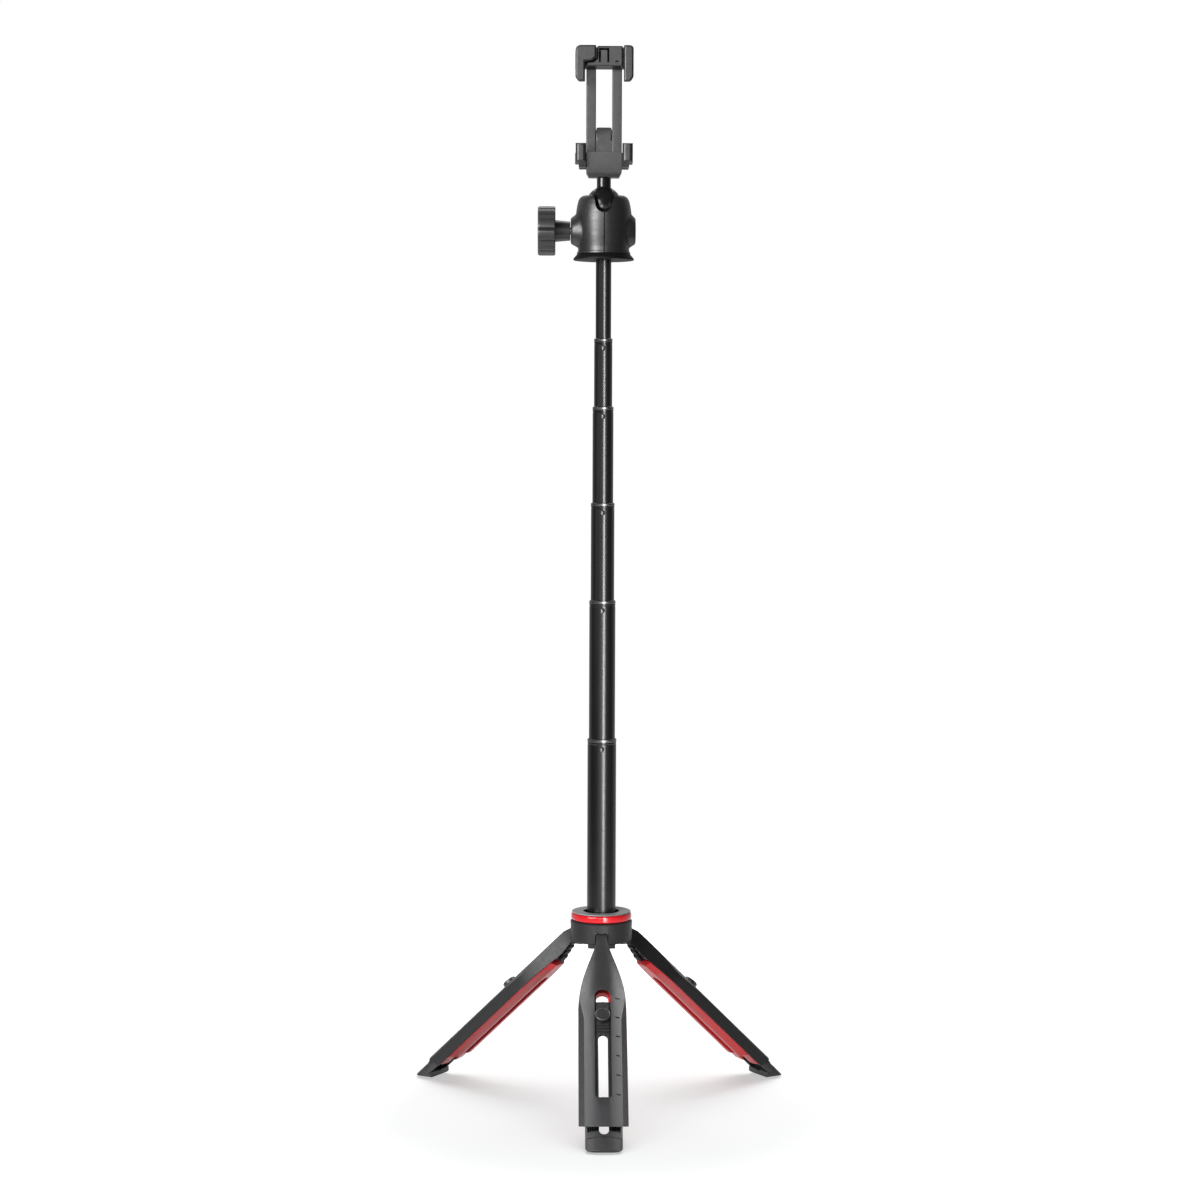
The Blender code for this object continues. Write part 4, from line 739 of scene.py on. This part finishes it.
# Radius and height of points up the housing, from its foot
HOUSING_SHAPE = (
    (0.0199, 0.0), (0.0199, 0.0012), (0.0192, 0.0016), (0.0190, 0.0045), (0.0193, 0.0075),
    (0.0199, 0.0125), (0.0204, 0.0185), (0.02075, 0.0245), (0.0208, 0.0275), (0.0205, 0.0315),
    (0.0199, 0.0355), (0.0190, 0.0392), (0.0183, 0.0407), (0.0173, 0.0419), (0.0160, 0.0427),
)
BALL = Vector(joint("ball_tilt")["pos_m"])
BALL_RISE = BALL.z - HOUSING_LOW.z
BALL_RADIUS = BALL.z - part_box("ball_stem")[0].z
BALL_STEPS = 28
CUP_RADIUS = BALL_RADIUS + 0.0006
CUP_FLOOR = BALL_RISE - BALL_RADIUS - 0.0016
CUP_STEPS = 8
BORE_RADIUS = 0.0101
STEM_RADIUS = 0.00525
STEM_FILLET = 0.0012
STEM_BEVEL = 0.0004
STEM_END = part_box("holder_block")[0].z - BALL.z - 0.0003
THREAD_RADIUS = 0.0031
NOTCH_HALF = 0.0061
NOTCH_MOUTH = 0.0083
NOTCH_CHAMFER = 0.0014
NOTCH_BACK = 0.002
NOTCH_FRONT = -0.0166
NOTCH_FACE = -0.0215
LOCK = Vector(joint("knob_turn")["pos_m"])
LOCK_RISE = LOCK.z - HOUSING_LOW.z
BOSS_RADIUS = 0.0088
BOSS_FILLET = 0.0042
NUT_ROOM = 0.0065
NUT_DEPTH = 0.0053
SCREW_ROOM = 0.0034
SEAM_HALF = 0.0004
TONGUE_HALF = 0.0005
TONGUE_LOW = 0.0004
TONGUE_HIGH = BALL_RISE - BALL_RADIUS - 0.0018
TONGUE_NEAR = 0.0104
TONGUE_FAR = 0.0181
KNOB_LOBES = 12
KNOB_POINTS = 14
KNOB_GROOVE = 0.0016
KNOB_SHARPNESS = 5
KNOB_FACE = 0.036
KNOB_HOLE = 0.0032
KNOB_NECK = 0.0071
KNOB_NECK_FOOT = 0.0082
KNOB_RIM = 0.0011
KNOB_DISH = 0.0006


def smooth(share):
    share = min(max(share, 0.0), 1.0)
    return share * share * (3.0 - 2.0 * share)


def notch_tool():
    """Room for the stem in the front of the head, flared towards its outer face."""
    top = HOUSING_HEIGHT + NOTCH_CHAMFER
    rings = []
    for along, grow in ((NOTCH_BACK, 0.0), (NOTCH_FRONT, 0.0), (NOTCH_FACE, NOTCH_CHAMFER)):
        points = arc((0.0, BALL_RISE), NOTCH_HALF + grow, -pi, 0.0, SMALL_SEGMENTS)
        points += [(NOTCH_MOUTH + grow, top), (-NOTCH_MOUTH - grow, top)]
        rings.append([(across, along, height) for across, height in points])
    return loft(rings)


def build_housing(side):
    """One moulded half of the head: its boss grows softly out of the wall, with a notch for the stem."""
    node = "housing_left" if side < 0 else "housing_right"
    low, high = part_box(node)
    reach = max(abs(low.x - POLE.x), abs(high.x - POLE.x))
    outer = finer(HOUSING_SHAPE, HOUSING_PARTS)
    mouth = asin((HOUSING_HEIGHT - BALL_RISE) / CUP_RADIUS)
    inner = arc((0.0, BALL_RISE), CUP_RADIUS, mouth, 0.0, CUP_STEPS)
    inner += [(CUP_RADIUS, CUP_FLOOR), (BORE_RADIUS, CUP_FLOOR), (BORE_RADIUS, 0.0)]
    rings = []
    for step in range(SEGMENTS + 1):
        turn = pi * step / SEGMENTS
        ring = []
        for index, (radius, height) in enumerate(outer + inner):
            across = max(radius * sin(turn), SEAM_HALF)
            along = radius * cos(turn)
            if index < len(outer):
                away = sqrt(along ** 2 + (height - LOCK_RISE) ** 2)
                across += smooth((BOSS_RADIUS + BOSS_FILLET - away) / BOSS_FILLET) * (reach - across)
            ring.append((side * across, along, height))
        rings.append(ring)
    hole, depth = (NUT_ROOM, NUT_DEPTH) if side > 0 else (SCREW_ROOM, 2 * NUT_DEPTH)
    well = prism(circle((0.0, LOCK_RISE), hole, SMALL_SEGMENTS), side * (reach - depth),
                 side * (reach + NUT_DEPTH), "X")
    shape = on_pole(cut(loft(rings), well, notch_tool()), HOUSING_LOW.z)
    piece(node + "_moulded", shape, PLASTIC, node)


def build_seam_shade():
    """Dark tongues inside the seam between the halves, below the ball's cup: painted shade in the gap."""
    tongues = [box((-TONGUE_HALF, near, TONGUE_LOW), (TONGUE_HALF, far, TONGUE_HIGH))
               for near, far in ((TONGUE_NEAR, TONGUE_FAR), (-TONGUE_FAR, -TONGUE_NEAR))]
    shape = on_pole(joined(*tongues), HOUSING_LOW.z)
    detail("housing_seam_shade", softened(shape, HAIR_EDGE), INK_AND_SHADE, "housing_left")


def build_knob():
    """Fluted knob with rounded rims and a shallow dished face, on its tapered neck."""
    low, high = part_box("lock_knob")
    radius = (high.z - low.z) / 2
    near = POLE.x - high.x
    far = POLE.x - low.x
    # Share of the radius, step from it and reach from the pole, from the neck to the dished face
    levels = [
        (0.35, 0.0, KNOB_FACE),
        (0.86, 0.0, KNOB_FACE),
        (1.0, -KNOB_RIM, KNOB_FACE),
        (1.0, -KNOB_RIM * 0.3, KNOB_FACE + KNOB_RIM * 0.3),
        (1.0, 0.0, KNOB_FACE + KNOB_RIM),
        (1.0, 0.0, far - 1.4 * KNOB_RIM),
        (1.0, -KNOB_RIM * 0.35, far - 0.4 * KNOB_RIM),
        (1.0, -KNOB_RIM * 1.2, far),
        (0.80, 0.0, far),
        (0.76, 0.0, far - KNOB_DISH),
        (0.1, 0.0, far - KNOB_DISH),
    ]
    count = KNOB_LOBES * KNOB_POINTS
    rings = []
    for share, step, height in levels:
        ring = []
        for index in range(count):
            turn = tau * index / count
            dip = max(0.0, cos(KNOB_LOBES * turn)) ** KNOB_SHARPNESS if share == 1.0 else 0.0
            reach = radius * share + step - KNOB_GROOVE * dip
            ring.append((reach * cos(turn), reach * sin(turn), height))
        rings.append(ring)
    foot = KNOB_FACE + OVERSHOOT
    neck = [(KNOB_HOLE, near), (KNOB_NECK, near), (KNOB_NECK_FOOT, foot), (KNOB_HOLE, foot)]
    shape = joined(loft(rings), lathe(rounded(neck, SLIGHT_EDGE)))
    matrix = Matrix.Translation((POLE.x, LOCK.y, LOCK.z)) @ Matrix.Rotation(-pi / 2, 4, "Y")
    piece("lock_knob_moulded", moved(shape, matrix), KNOB, "lock_knob")


def build_ball():
    """Polished ball on a round stem with a soft fillet between them, and the thread into the holder."""
    neck = asin((STEM_RADIUS + STEM_FILLET) / BALL_RADIUS)
    profile = arc((0.0, 0.0), BALL_RADIUS, -pi / 2, pi / 2 - neck, BALL_STEPS)
    profile[0] = (0.0, -BALL_RADIUS)
    foot = profile[-1][1] + STEM_FILLET
    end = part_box("ball_stem")[1].z - BALL.z
    profile += [
        (STEM_RADIUS + STEM_FILLET * 0.25, foot - STEM_FILLET * 0.4),
        (STEM_RADIUS, foot + STEM_FILLET * 0.3),
        (STEM_RADIUS, STEM_END - STEM_BEVEL),
        (STEM_RADIUS - STEM_BEVEL, STEM_END),
        (THREAD_RADIUS, STEM_END),
        (THREAD_RADIUS, end - STEM_BEVEL),
        (THREAD_RADIUS - STEM_BEVEL, end),
        (0.0, end),
    ]
    shape = moved(lathe(profile), Matrix.Translation(BALL))
    return piece("ball_stem_polished", shape, BLACK_GLOSS, "ball_stem")


def build_head():
    # Base flange in the darkest copy: painted shade, for its shaded underside
    dressed("head_base", DEEP, CRISP_EDGE)
    build_housing(-1)
    build_housing(1)
    build_seam_shade()
    build_knob()
    dressed("ball_seat", NYLON, FINE_EDGE)
    dressed("lock_screw", STEEL, CRISP_EDGE)
    dressed("lock_nut", STEEL, FINE_EDGE)
    return build_ball()


# Phone holder

JAW_LOW, JAW_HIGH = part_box("upper_jaw")
JAW_HALF = (JAW_HIGH.x - JAW_LOW.x) / 2
JAW_EDGE = 0.0006
COVER_LOW, COVER_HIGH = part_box("jaw_cover")
FRAME_LOW, FRAME_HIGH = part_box("holder_frame")
BLOCK_LOW, BLOCK_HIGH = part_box("holder_block")
BAR_BASE = FRAME_HIGH.z + 0.0003
BAR_DEPTH = 0.0072
CORNER = 0.0046
LIP_THICKNESS = 0.0034
LIP_ROUND = 0.0015
LIP_STEPS = 12
LIP_RISE = 0.0058
LIP_ROOT = 0.0012
LIP_FOOT = 0.0067
LIP_SLANT = 0.0042
ARM_START = 0.0012
ARM_DROP = 0.0002
FINGER_WIDTH = 0.0071
FINGER_REACH = 0.0113
FINGER_ROUND = 0.0012
FINGER_TIP_CUT = 0.0024
FINGER_TIP_RISE = 0.00336
FINGER_EDGE = 0.0008
HOOK_WIDTH = 0.0153
HOOK_SLANT = 0.0028
HOOK_HEEL = 0.00342
HOOK_TOE = 0.00399
HOOK_SHOULDER = 0.00646
HOOK_BENDS = [0.0006, 0.0009, 0.0009, 0.001, CORNER]
PRONG_HALF = 0.00195
PRONG_DEPTH = 0.0036
PRONG_LENGTH = 0.041
RAIL_WIDTH = 0.0072
RAIL_SPACING = 0.0193
RAIL_EDGE = 0.0007
FRAME_INSET = 0.0003
WING_CUT = 0.0032
WING_STEP = 0.0038
WING_SLANT = 0.8
WING_ROUND = 0.0026
POST_GROW = 0.0011
POST_STEPS = 4
POST_BENDS = [0.0003, 0.0003, 0.0016, 0.0012, 0.0012, 0.0016]
NOSE_DROP = 0.0062
NOSE_TAPER = 0.0014
NOSE_ROUND = 0.0022
NOSE_HEIGHT = 0.0098
SLOPE_DROP = 0.0102
SLOPE_DEPTH = 0.0012
FACET_RISE = 0.0044
FACET_DEPTH = 0.0024
COVER_GAP = 0.0006
COVER_RIM = 0.001
COVER_BENDS = [0.0011, 0.0018, 0.0009, 0.0006, 0.0008, 0.0008, 0.0011]
SHOULDER_GAP = 0.0004
SHOULDER_RISE = 0.0058
SHOULDER_SLANT = 0.003
SHOULDER_FOOT = 0.0034
SHOULDER_END = 0.003
SLIT_WIDTH = 0.0077
SLIT_ASIDE = -0.0003
SLIT_LINE = 0.0015
SLIT_FOOT = 0.00289
SLIT_DROP = 0.0017
SLIT_DEPTH = 0.0013
DASH_START = 0.0042
DASH_END = 0.0067
DASH_LOW = 0.0032
DASH_HIGH = 0.0042
INLAY_SHARE = 0.45
INLAY_HOLD = 0.0004


def at_holder(shape):
    return moved(shape, Matrix.Translation((POLE.x, 0.0, 0.0)))


def build_block():
    """Block on the stem, cut back along the foot of its front face."""
    front, under = BLOCK_LOW.y - OVERSHOOT, BLOCK_LOW.z - OVERSHOOT
    facet = [(front, under), (front, BLOCK_LOW.z + FACET_RISE), (BLOCK_LOW.y + FACET_DEPTH, under)]
    tool = prism(facet, BLOCK_LOW.x - OVERSHOOT, BLOCK_HIGH.x + OVERSHOOT, "X")
    shape = cut(solid_of("holder_block"), tool)
    piece("holder_block_moulded", softened(shape, FULL_EDGE), PLASTIC, "holder_block")


def wing_tool(side, half, ledge):
    """Room outside the stepped lower corner of a finger."""
    away, under = side * (half + OVERSHOOT), ledge - OVERSHOOT
    step = [(side * (half - WING_CUT), under), (away, under), (away, ledge + WING_STEP),
            (side * (half - WING_CUT * WING_SLANT), ledge + WING_STEP)]
    return prism(step, FRAME_LOW.y - OVERSHOOT, FRAME_HIGH.y + OVERSHOOT, "Y")


def lower_finger(side, half, ledge, floor):
    """Finger of the lower jaw: a round-fronted lip, rounded ends and a stepped corner under it."""
    back, face = FRAME_HIGH.y - FRAME_INSET, FRAME_LOW.y
    foot, root = ledge + FRAME_INSET, floor - LIP_ROOT
    top = floor + LIP_RISE
    radius = LIP_THICKNESS / 2
    outline = [(back, foot), (back, root), (face + LIP_THICKNESS, root)]
    outline += arc((face + radius, top - radius), radius, 0.0, pi, LIP_STEPS)
    outline += [(face, floor - LIP_FOOT), (face + LIP_SLANT, foot)]
    inner = BLOCK_HIGH.x - POLE.x + FRAME_INSET
    ends = sorted((side * inner, side * (half - FRAME_INSET)))
    rooms = [corner_room((end, face), (inward, 1), WING_ROUND) for end, inward in zip(ends, (1, -1))]
    rounds = [prism(room, ledge - 2 * OVERSHOOT, top + 2 * OVERSHOOT, "Z") for room in rooms]
    finger = cut(prism(outline, ends[0], ends[1], "X"), wing_tool(side, half, ledge), *rounds)
    return softened(finger, FINGER_EDGE)


def build_frame():
    """Lower jaw: bar, two rails and two fingers."""
    half = (FRAME_HIGH.x - FRAME_LOW.x) / 2
    back = FRAME_HIGH.y
    front = back - BAR_DEPTH
    ledge, floor = FRAME_LOW.z, BLOCK_HIGH.z
    bar = box((-half, front, ledge), (half, back, floor))
    shapes = [softened(cut(bar, wing_tool(-1, half, ledge), wing_tool(1, half, ledge)), JAW_EDGE)]
    for side in (-1, 1):
        centre = side * RAIL_SPACING / 2
        rail = box((centre - RAIL_WIDTH / 2, front + FRAME_INSET, ledge + FRAME_INSET),
                   (centre + RAIL_WIDTH / 2, back - FRAME_INSET, FRAME_HIGH.z))
        shapes.append(softened(rail, RAIL_EDGE))
        shapes.append(lower_finger(side, half, ledge, floor))
    piece("holder_frame_moulded", at_holder(joined(*shapes)), PLASTIC, "holder_frame")


def build_stop():
    """Post between the rails: flat below, its nose sloping back above."""
    low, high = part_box("centre_stop")
    half = (high.x - low.x) / 2 + POST_GROW
    shoulder, tip = high.z - NOSE_DROP, half - NOSE_TAPER
    nose = [(-half, low.z), (half, low.z), (half, shoulder), (tip, high.z), (-tip, high.z), (-half, shoulder)]
    post = prism(rounded(nose, POST_BENDS, POST_STEPS), low.y, high.y, "Y")
    front, above = low.y - OVERSHOOT, high.z + OVERSHOOT
    slope = [(front, high.z - SLOPE_DROP), (front, above), (low.y + SLOPE_DEPTH, above)]
    rooms = [corner_room((side * half, low.y), (-side, 1), NOSE_ROUND) for side in (-1, 1)]
    rounds = [prism(room, high.z - NOSE_HEIGHT, high.z + 2 * OVERSHOOT, "Z") for room in rooms]
    post = cut(post, prism(slope, -2 * half, 2 * half, "X"), *rounds)
    piece("centre_stop_moulded", at_holder(softened(post, SLIGHT_EDGE)), PLASTIC, "centre_stop")


def build_upper_jaw():
    """Sprung jaw: bar, left hook and right finger with rounded outer corners, and two prongs."""
    base, top = BAR_BASE, JAW_HIGH.z
    front, back = JAW_LOW.y, JAW_HIGH.y
    bar_front = back - BAR_DEPTH
    bar = [(-JAW_HALF, base), (JAW_HALF, base), (JAW_HALF, top), (-JAW_HALF, top)]
    bar = rounded(bar, [JAW_EDGE, JAW_EDGE, CORNER, CORNER], CORNER_STEPS)
    shapes = [softened(prism(bar, bar_front, back, "Y"), JAW_EDGE)]
    tip = base - FINGER_REACH
    inner = FINGER_WIDTH - JAW_HALF
    hook_end = HOOK_WIDTH - JAW_HALF
    crest = top - ARM_DROP
    hook = [(inner, base + HOOK_HEEL), (hook_end - HOOK_SLANT, base + HOOK_TOE),
            (hook_end, base + HOOK_SHOULDER), (hook_end, crest), (-JAW_HALF, crest)]
    arm = [(-inner, crest), (JAW_HALF, crest)]
    for outline, bends, side in ((hook, HOOK_BENDS, -1), (arm, [JAW_EDGE, CORNER], 1)):
        edge = side * JAW_HALF
        end = [(edge, tip + FINGER_TIP_RISE), (edge - side * FINGER_TIP_CUT, tip), (-side * inner, tip)]
        face_bends = bends + [FINGER_ROUND, FINGER_ROUND, JAW_EDGE]
        shapes.append(pillow(outline + end, face_bends, front, front + LIP_THICKNESS, LIP_ROUND))
        stub = outline + [(edge, base), (-side * inner, base)]
        stub = rounded(stub, bends + [JAW_EDGE, JAW_EDGE], CORNER_STEPS)
        stub = prism(stub, front + ARM_START, bar_front + OVERSHOOT, "Y")
        shapes.append(softened(stub, CRISP_EDGE))
    middle_line = (bar_front + back) / 2
    for side in (-1, 1):
        centre = side * RAIL_SPACING / 2
        prong = box((centre - PRONG_HALF, middle_line - PRONG_DEPTH / 2, base - PRONG_LENGTH),
                    (centre + PRONG_HALF, middle_line + PRONG_DEPTH / 2, base + OVERSHOOT))
        shapes.append(softened(prong, CRISP_EDGE))
    piece("upper_jaw_moulded", at_holder(joined(*shapes)), PLASTIC, "upper_jaw")


def build_cover():
    """Front plate of the upper jaw: rounded lower corners, a cut round its catch and a small slot."""
    left, right = COVER_LOW.x - POLE.x + COVER_GAP, COVER_HIGH.x - POLE.x - COVER_GAP
    low, high = COVER_LOW.z, COVER_HIGH.z
    front = COVER_LOW.y
    shoulder = HOOK_WIDTH - JAW_HALF + SHOULDER_GAP + COVER_GAP
    outline = [(left, low), (right, low), (right, high), (shoulder, high), (shoulder, low + SHOULDER_RISE),
               (shoulder - SHOULDER_SLANT, low + SHOULDER_FOOT), (left, low + SHOULDER_END)]
    plate = pillow(outline, COVER_BENDS, front, COVER_HIGH.y, COVER_RIM)
    half = SLIT_WIDTH / 2
    inside = half - SLIT_LINE
    bottom, top = low + SLIT_FOOT, high - SLIT_DROP
    under = top - SLIT_LINE
    slit = [(-half, bottom), (-half, top), (half, top), (half, bottom),
            (inside, bottom), (inside, under), (-inside, under), (-inside, bottom)]
    slit = [(across + SLIT_ASIDE, height) for across, height in slit]

    def slots(start, end):
        dash = box((half + DASH_START, start, low + DASH_LOW), (half + DASH_END, end, low + DASH_HIGH))
        return prism(slit, start, end, "Y"), dash

    plate = cut(plate, *slots(front - OVERSHOOT, front + SLIT_DEPTH))
    # Dark inlay set in the slit and the dash: painted shade at the bottom of the cuts
    slit_shade = joined(*slots(front + SLIT_DEPTH * INLAY_SHARE, front + SLIT_DEPTH + INLAY_HOLD))
    detail("jaw_cover_slit_shade", at_holder(slit_shade), INK_AND_SHADE, "jaw_cover")
    piece("jaw_cover_moulded", at_holder(plate), PLASTIC, "jaw_cover")


def build_holder():
    build_block()
    build_frame()
    build_stop()
    build_upper_jaw()
    build_cover()
    dressed("holder_insert", BRASS, FINE_EDGE)
    for side in ("left", "right"):
        dressed("lower_pad_" + side, RUBBER, FINE_EDGE)
        dressed("upper_pad_" + side, RUBBER, FINE_EDGE)
        NODES["jaw_spring_" + side].data.materials[0] = STEEL


# Stage

FLOOR_RADIUS = 0.75
FLOOR_COLOUR = (0.592, 0.602, 0.602)
FLOOR_GLOW = (0.48, 1.0)
GLOW_REACH = (0.13, 0.36)
SKY_LIGHT = 0.1
ROOM_DEPTH = (-0.1, 0.6)
ROOM_LIGHT = (0.06, 0.5)

# Photograph: 1200 pixels a side
PHOTO_SIDE = 1200.0
FOCAL_PIXELS = 2660.0
HORIZON_ROW = 450.0
CAMERA_DISTANCE = 1.996
CAMERA_HEIGHT = 0.492
CAMERA_ASIDE = -0.0018
CAMERA_TURN = radians(0.9)
CAMERA_ROLL = radians(0.2)
SENSOR_WIDTH = 36.0

# Lamps: name, place, aim, width and height, power
LAMPS = (
    ("wall", (-0.8, -2.1, 1.05), (0.0, 0.0, 0.7), (2.2, 1.0), 34.0),
    ("key", (-1.35, -1.6, 0.9), (0.0, 0.0, 0.5), (1.0, 1.3), 70.0),
    ("top", (0.0, 1.0, 1.9), (0.0, 0.0, 0.0), (1.4, 0.6), 11.0),
    ("low", (0.0, -1.5, 0.12), (0.0, 0.05, 0.08), (1.6, 0.2), 2.5),
    ("left_shoulder", (-1.1, 0.4, 1.55), (0.0, -0.1, 0.08), (0.6, 0.8), 17.0),
    ("right_shoulder", (1.1, 0.4, 1.55), (0.0, -0.1, 0.08), (0.6, 0.8), 19.0),
    ("fill", (-1.6, -1.6, 0.85), (0.0, 0.0, 0.6), (3.2, 1.3), 9.5),
    ("glint", (-0.55, -2.0, 0.25), (0.0, 0.0, 0.66), (0.35, 0.6), 9.0),
    ("over", (0.1, 0.5, 1.7), (0.0, 0.0, 0.0), (2.4, 1.8), 25.0),
    ("strip", (0.48, -1.95, 0.6), (0.0, 0.0, 0.45), (0.4, 1.9), 66.0),
)


def seen_directly(tree):
    """1 for camera, glossy and transmission rays, 0 for the light that falls on things."""
    path = tree.nodes.new("ShaderNodeLightPath")
    total = path.outputs["Is Camera Ray"]
    for name in ("Is Glossy Ray", "Is Transmission Ray"):
        total = combined(tree, "MAXIMUM", total, path.outputs[name])
    return total


def build_floor():
    """Pale floor that keeps the shadow near the feet and fades to white further out."""
    outline = circle((POLE.x, POLE.y), FLOOR_RADIUS, SEGMENTS)
    mesh = bpy.data.meshes.new("floor")
    mesh.from_pydata([(across, along, 0.0) for across, along in outline], [], [tuple(range(SEGMENTS))])
    floor = bpy.data.objects.new("floor", mesh)
    bpy.context.scene.collection.objects.link(floor)
    material = bpy.data.materials.new("pale_floor")
    material.use_nodes = True
    tree = material.node_tree
    tree.nodes.clear()
    diffuse = tree.nodes.new("ShaderNodeBsdfDiffuse")
    diffuse.inputs["Color"].default_value = (*FLOOR_COLOUR, 1.0)
    coordinates = tree.nodes.new("ShaderNodeTexCoord")
    length = tree.nodes.new("ShaderNodeVectorMath")
    length.operation = "LENGTH"
    tree.links.new(coordinates.outputs["Object"], length.inputs[0])
    fade = ranged(tree, length.outputs["Value"], GLOW_REACH, FLOOR_GLOW, "SMOOTHSTEP")
    glow = tree.nodes.new("ShaderNodeEmission")
    tree.links.new(combined(tree, "MULTIPLY", fade, seen_directly(tree)), glow.inputs["Strength"])
    both = tree.nodes.new("ShaderNodeAddShader")
    tree.links.new(diffuse.outputs[0], both.inputs[0])
    tree.links.new(glow.outputs[0], both.inputs[1])
    output = tree.nodes.new("ShaderNodeOutputMaterial")
    tree.links.new(both.outputs[0], output.inputs["Surface"])
    mesh.materials.append(material)
    return floor


def build_world():
    """White backdrop for the eye; reflections meet a bright room behind the part and a dim one before it."""
    world = bpy.data.worlds.new("studio")
    bpy.context.scene.world = world
    world.use_nodes = True
    tree = world.node_tree
    background = tree.nodes["Background"]
    background.inputs["Color"].default_value = (1.0, 1.0, 1.0, 1.0)
    coordinates = tree.nodes.new("ShaderNodeTexCoord")
    split = tree.nodes.new("ShaderNodeSeparateXYZ")
    tree.links.new(coordinates.outputs["Generated"], split.inputs[0])
    level = ranged(tree, split.outputs["Y"], ROOM_DEPTH, ROOM_LIGHT, "SMOOTHSTEP")
    path = tree.nodes.new("ShaderNodeLightPath")
    for name, strength in (("Is Diffuse Ray", SKY_LIGHT), ("Is Camera Ray", 1.0)):
        blend = tree.nodes.new("ShaderNodeMix")
        blend.inputs[VALUES_IN[1]].default_value = strength
        tree.links.new(path.outputs[name], blend.inputs[SHARE])
        tree.links.new(level, blend.inputs[VALUES_IN[0]])
        level = blend.outputs[VALUE_OUT]
    tree.links.new(level, background.inputs["Strength"])


def softbox(name, place, aim, size, power):
    """Flat lamp that the camera doesn't see."""
    lamp = bpy.data.lights.new(name, "AREA")
    lamp.shape = "RECTANGLE"
    lamp.size, lamp.size_y = size
    lamp.energy = power
    item = bpy.data.objects.new(name, lamp)
    item.location = place
    item.rotation_euler = (Vector(aim) - Vector(place)).to_track_quat("-Z", "Y").to_euler()
    bpy.context.scene.collection.objects.link(item)
    item.visible_camera = False
    return item


def flagged(lamp, pieces, state):
    """Lamp that lights only the listed pieces (INCLUDE), or all but them (EXCLUDE)."""
    group = bpy.data.collections.new(lamp.name + "_flag")
    for item in pieces:
        group.objects.link(item)
    for entry in group.collection_objects:
        entry.light_linking.link_state = state
    lamp.light_linking.receiver_collection = group


def build_lights(trim, legs, pole, ball, floor):
    """Wide lights at the left, with lamps of their own for the legs, the pole, the ball and the floor."""
    flags = {
        "wall": (pole + [ball, floor], "EXCLUDE"),
        "key": (pole + [floor], "EXCLUDE"),
        "left_shoulder": (legs, "INCLUDE"),
        "right_shoulder": (legs, "INCLUDE"),
        "fill": (pole, "INCLUDE"),
        "glint": ([ball], "INCLUDE"),
        "over": ([floor], "INCLUDE"),
        "strip": (pole + trim, "INCLUDE"),
    }
    for name, *setting in LAMPS:
        lamp = softbox(name, *setting)
        if name in flags:
            flagged(lamp, *flags[name])


def build_camera():
    data = bpy.data.cameras.new("photo_view")
    data.sensor_width = SENSOR_WIDTH
    data.lens = FOCAL_PIXELS / PHOTO_SIDE * SENSOR_WIDTH
    camera = bpy.data.objects.new("photo_view", data)
    bpy.context.scene.collection.objects.link(camera)
    pitch = atan((PHOTO_SIDE / 2 - HORIZON_ROW) / FOCAL_PIXELS)
    camera.location = (CAMERA_ASIDE - CAMERA_DISTANCE * sin(CAMERA_TURN),
                       POLE.y - CAMERA_DISTANCE * cos(CAMERA_TURN), CAMERA_HEIGHT)
    turn = (Matrix.Rotation(-CAMERA_TURN, 4, "Z") @ Matrix.Rotation(pi / 2 - pitch, 4, "X")
            @ Matrix.Rotation(CAMERA_ROLL, 4, "Z"))
    camera.rotation_euler = turn.to_euler()
    bpy.context.scene.camera = camera


trim = build_hub()
legs = [item for side in SIDES for item in build_leg(side)]
pole = build_pole()
ball = build_head()
build_holder()
floor = build_floor()
build_world()
build_lights(trim, legs, pole, ball, floor)
build_camera()
bpy.context.scene.view_settings.view_transform = "Standard"
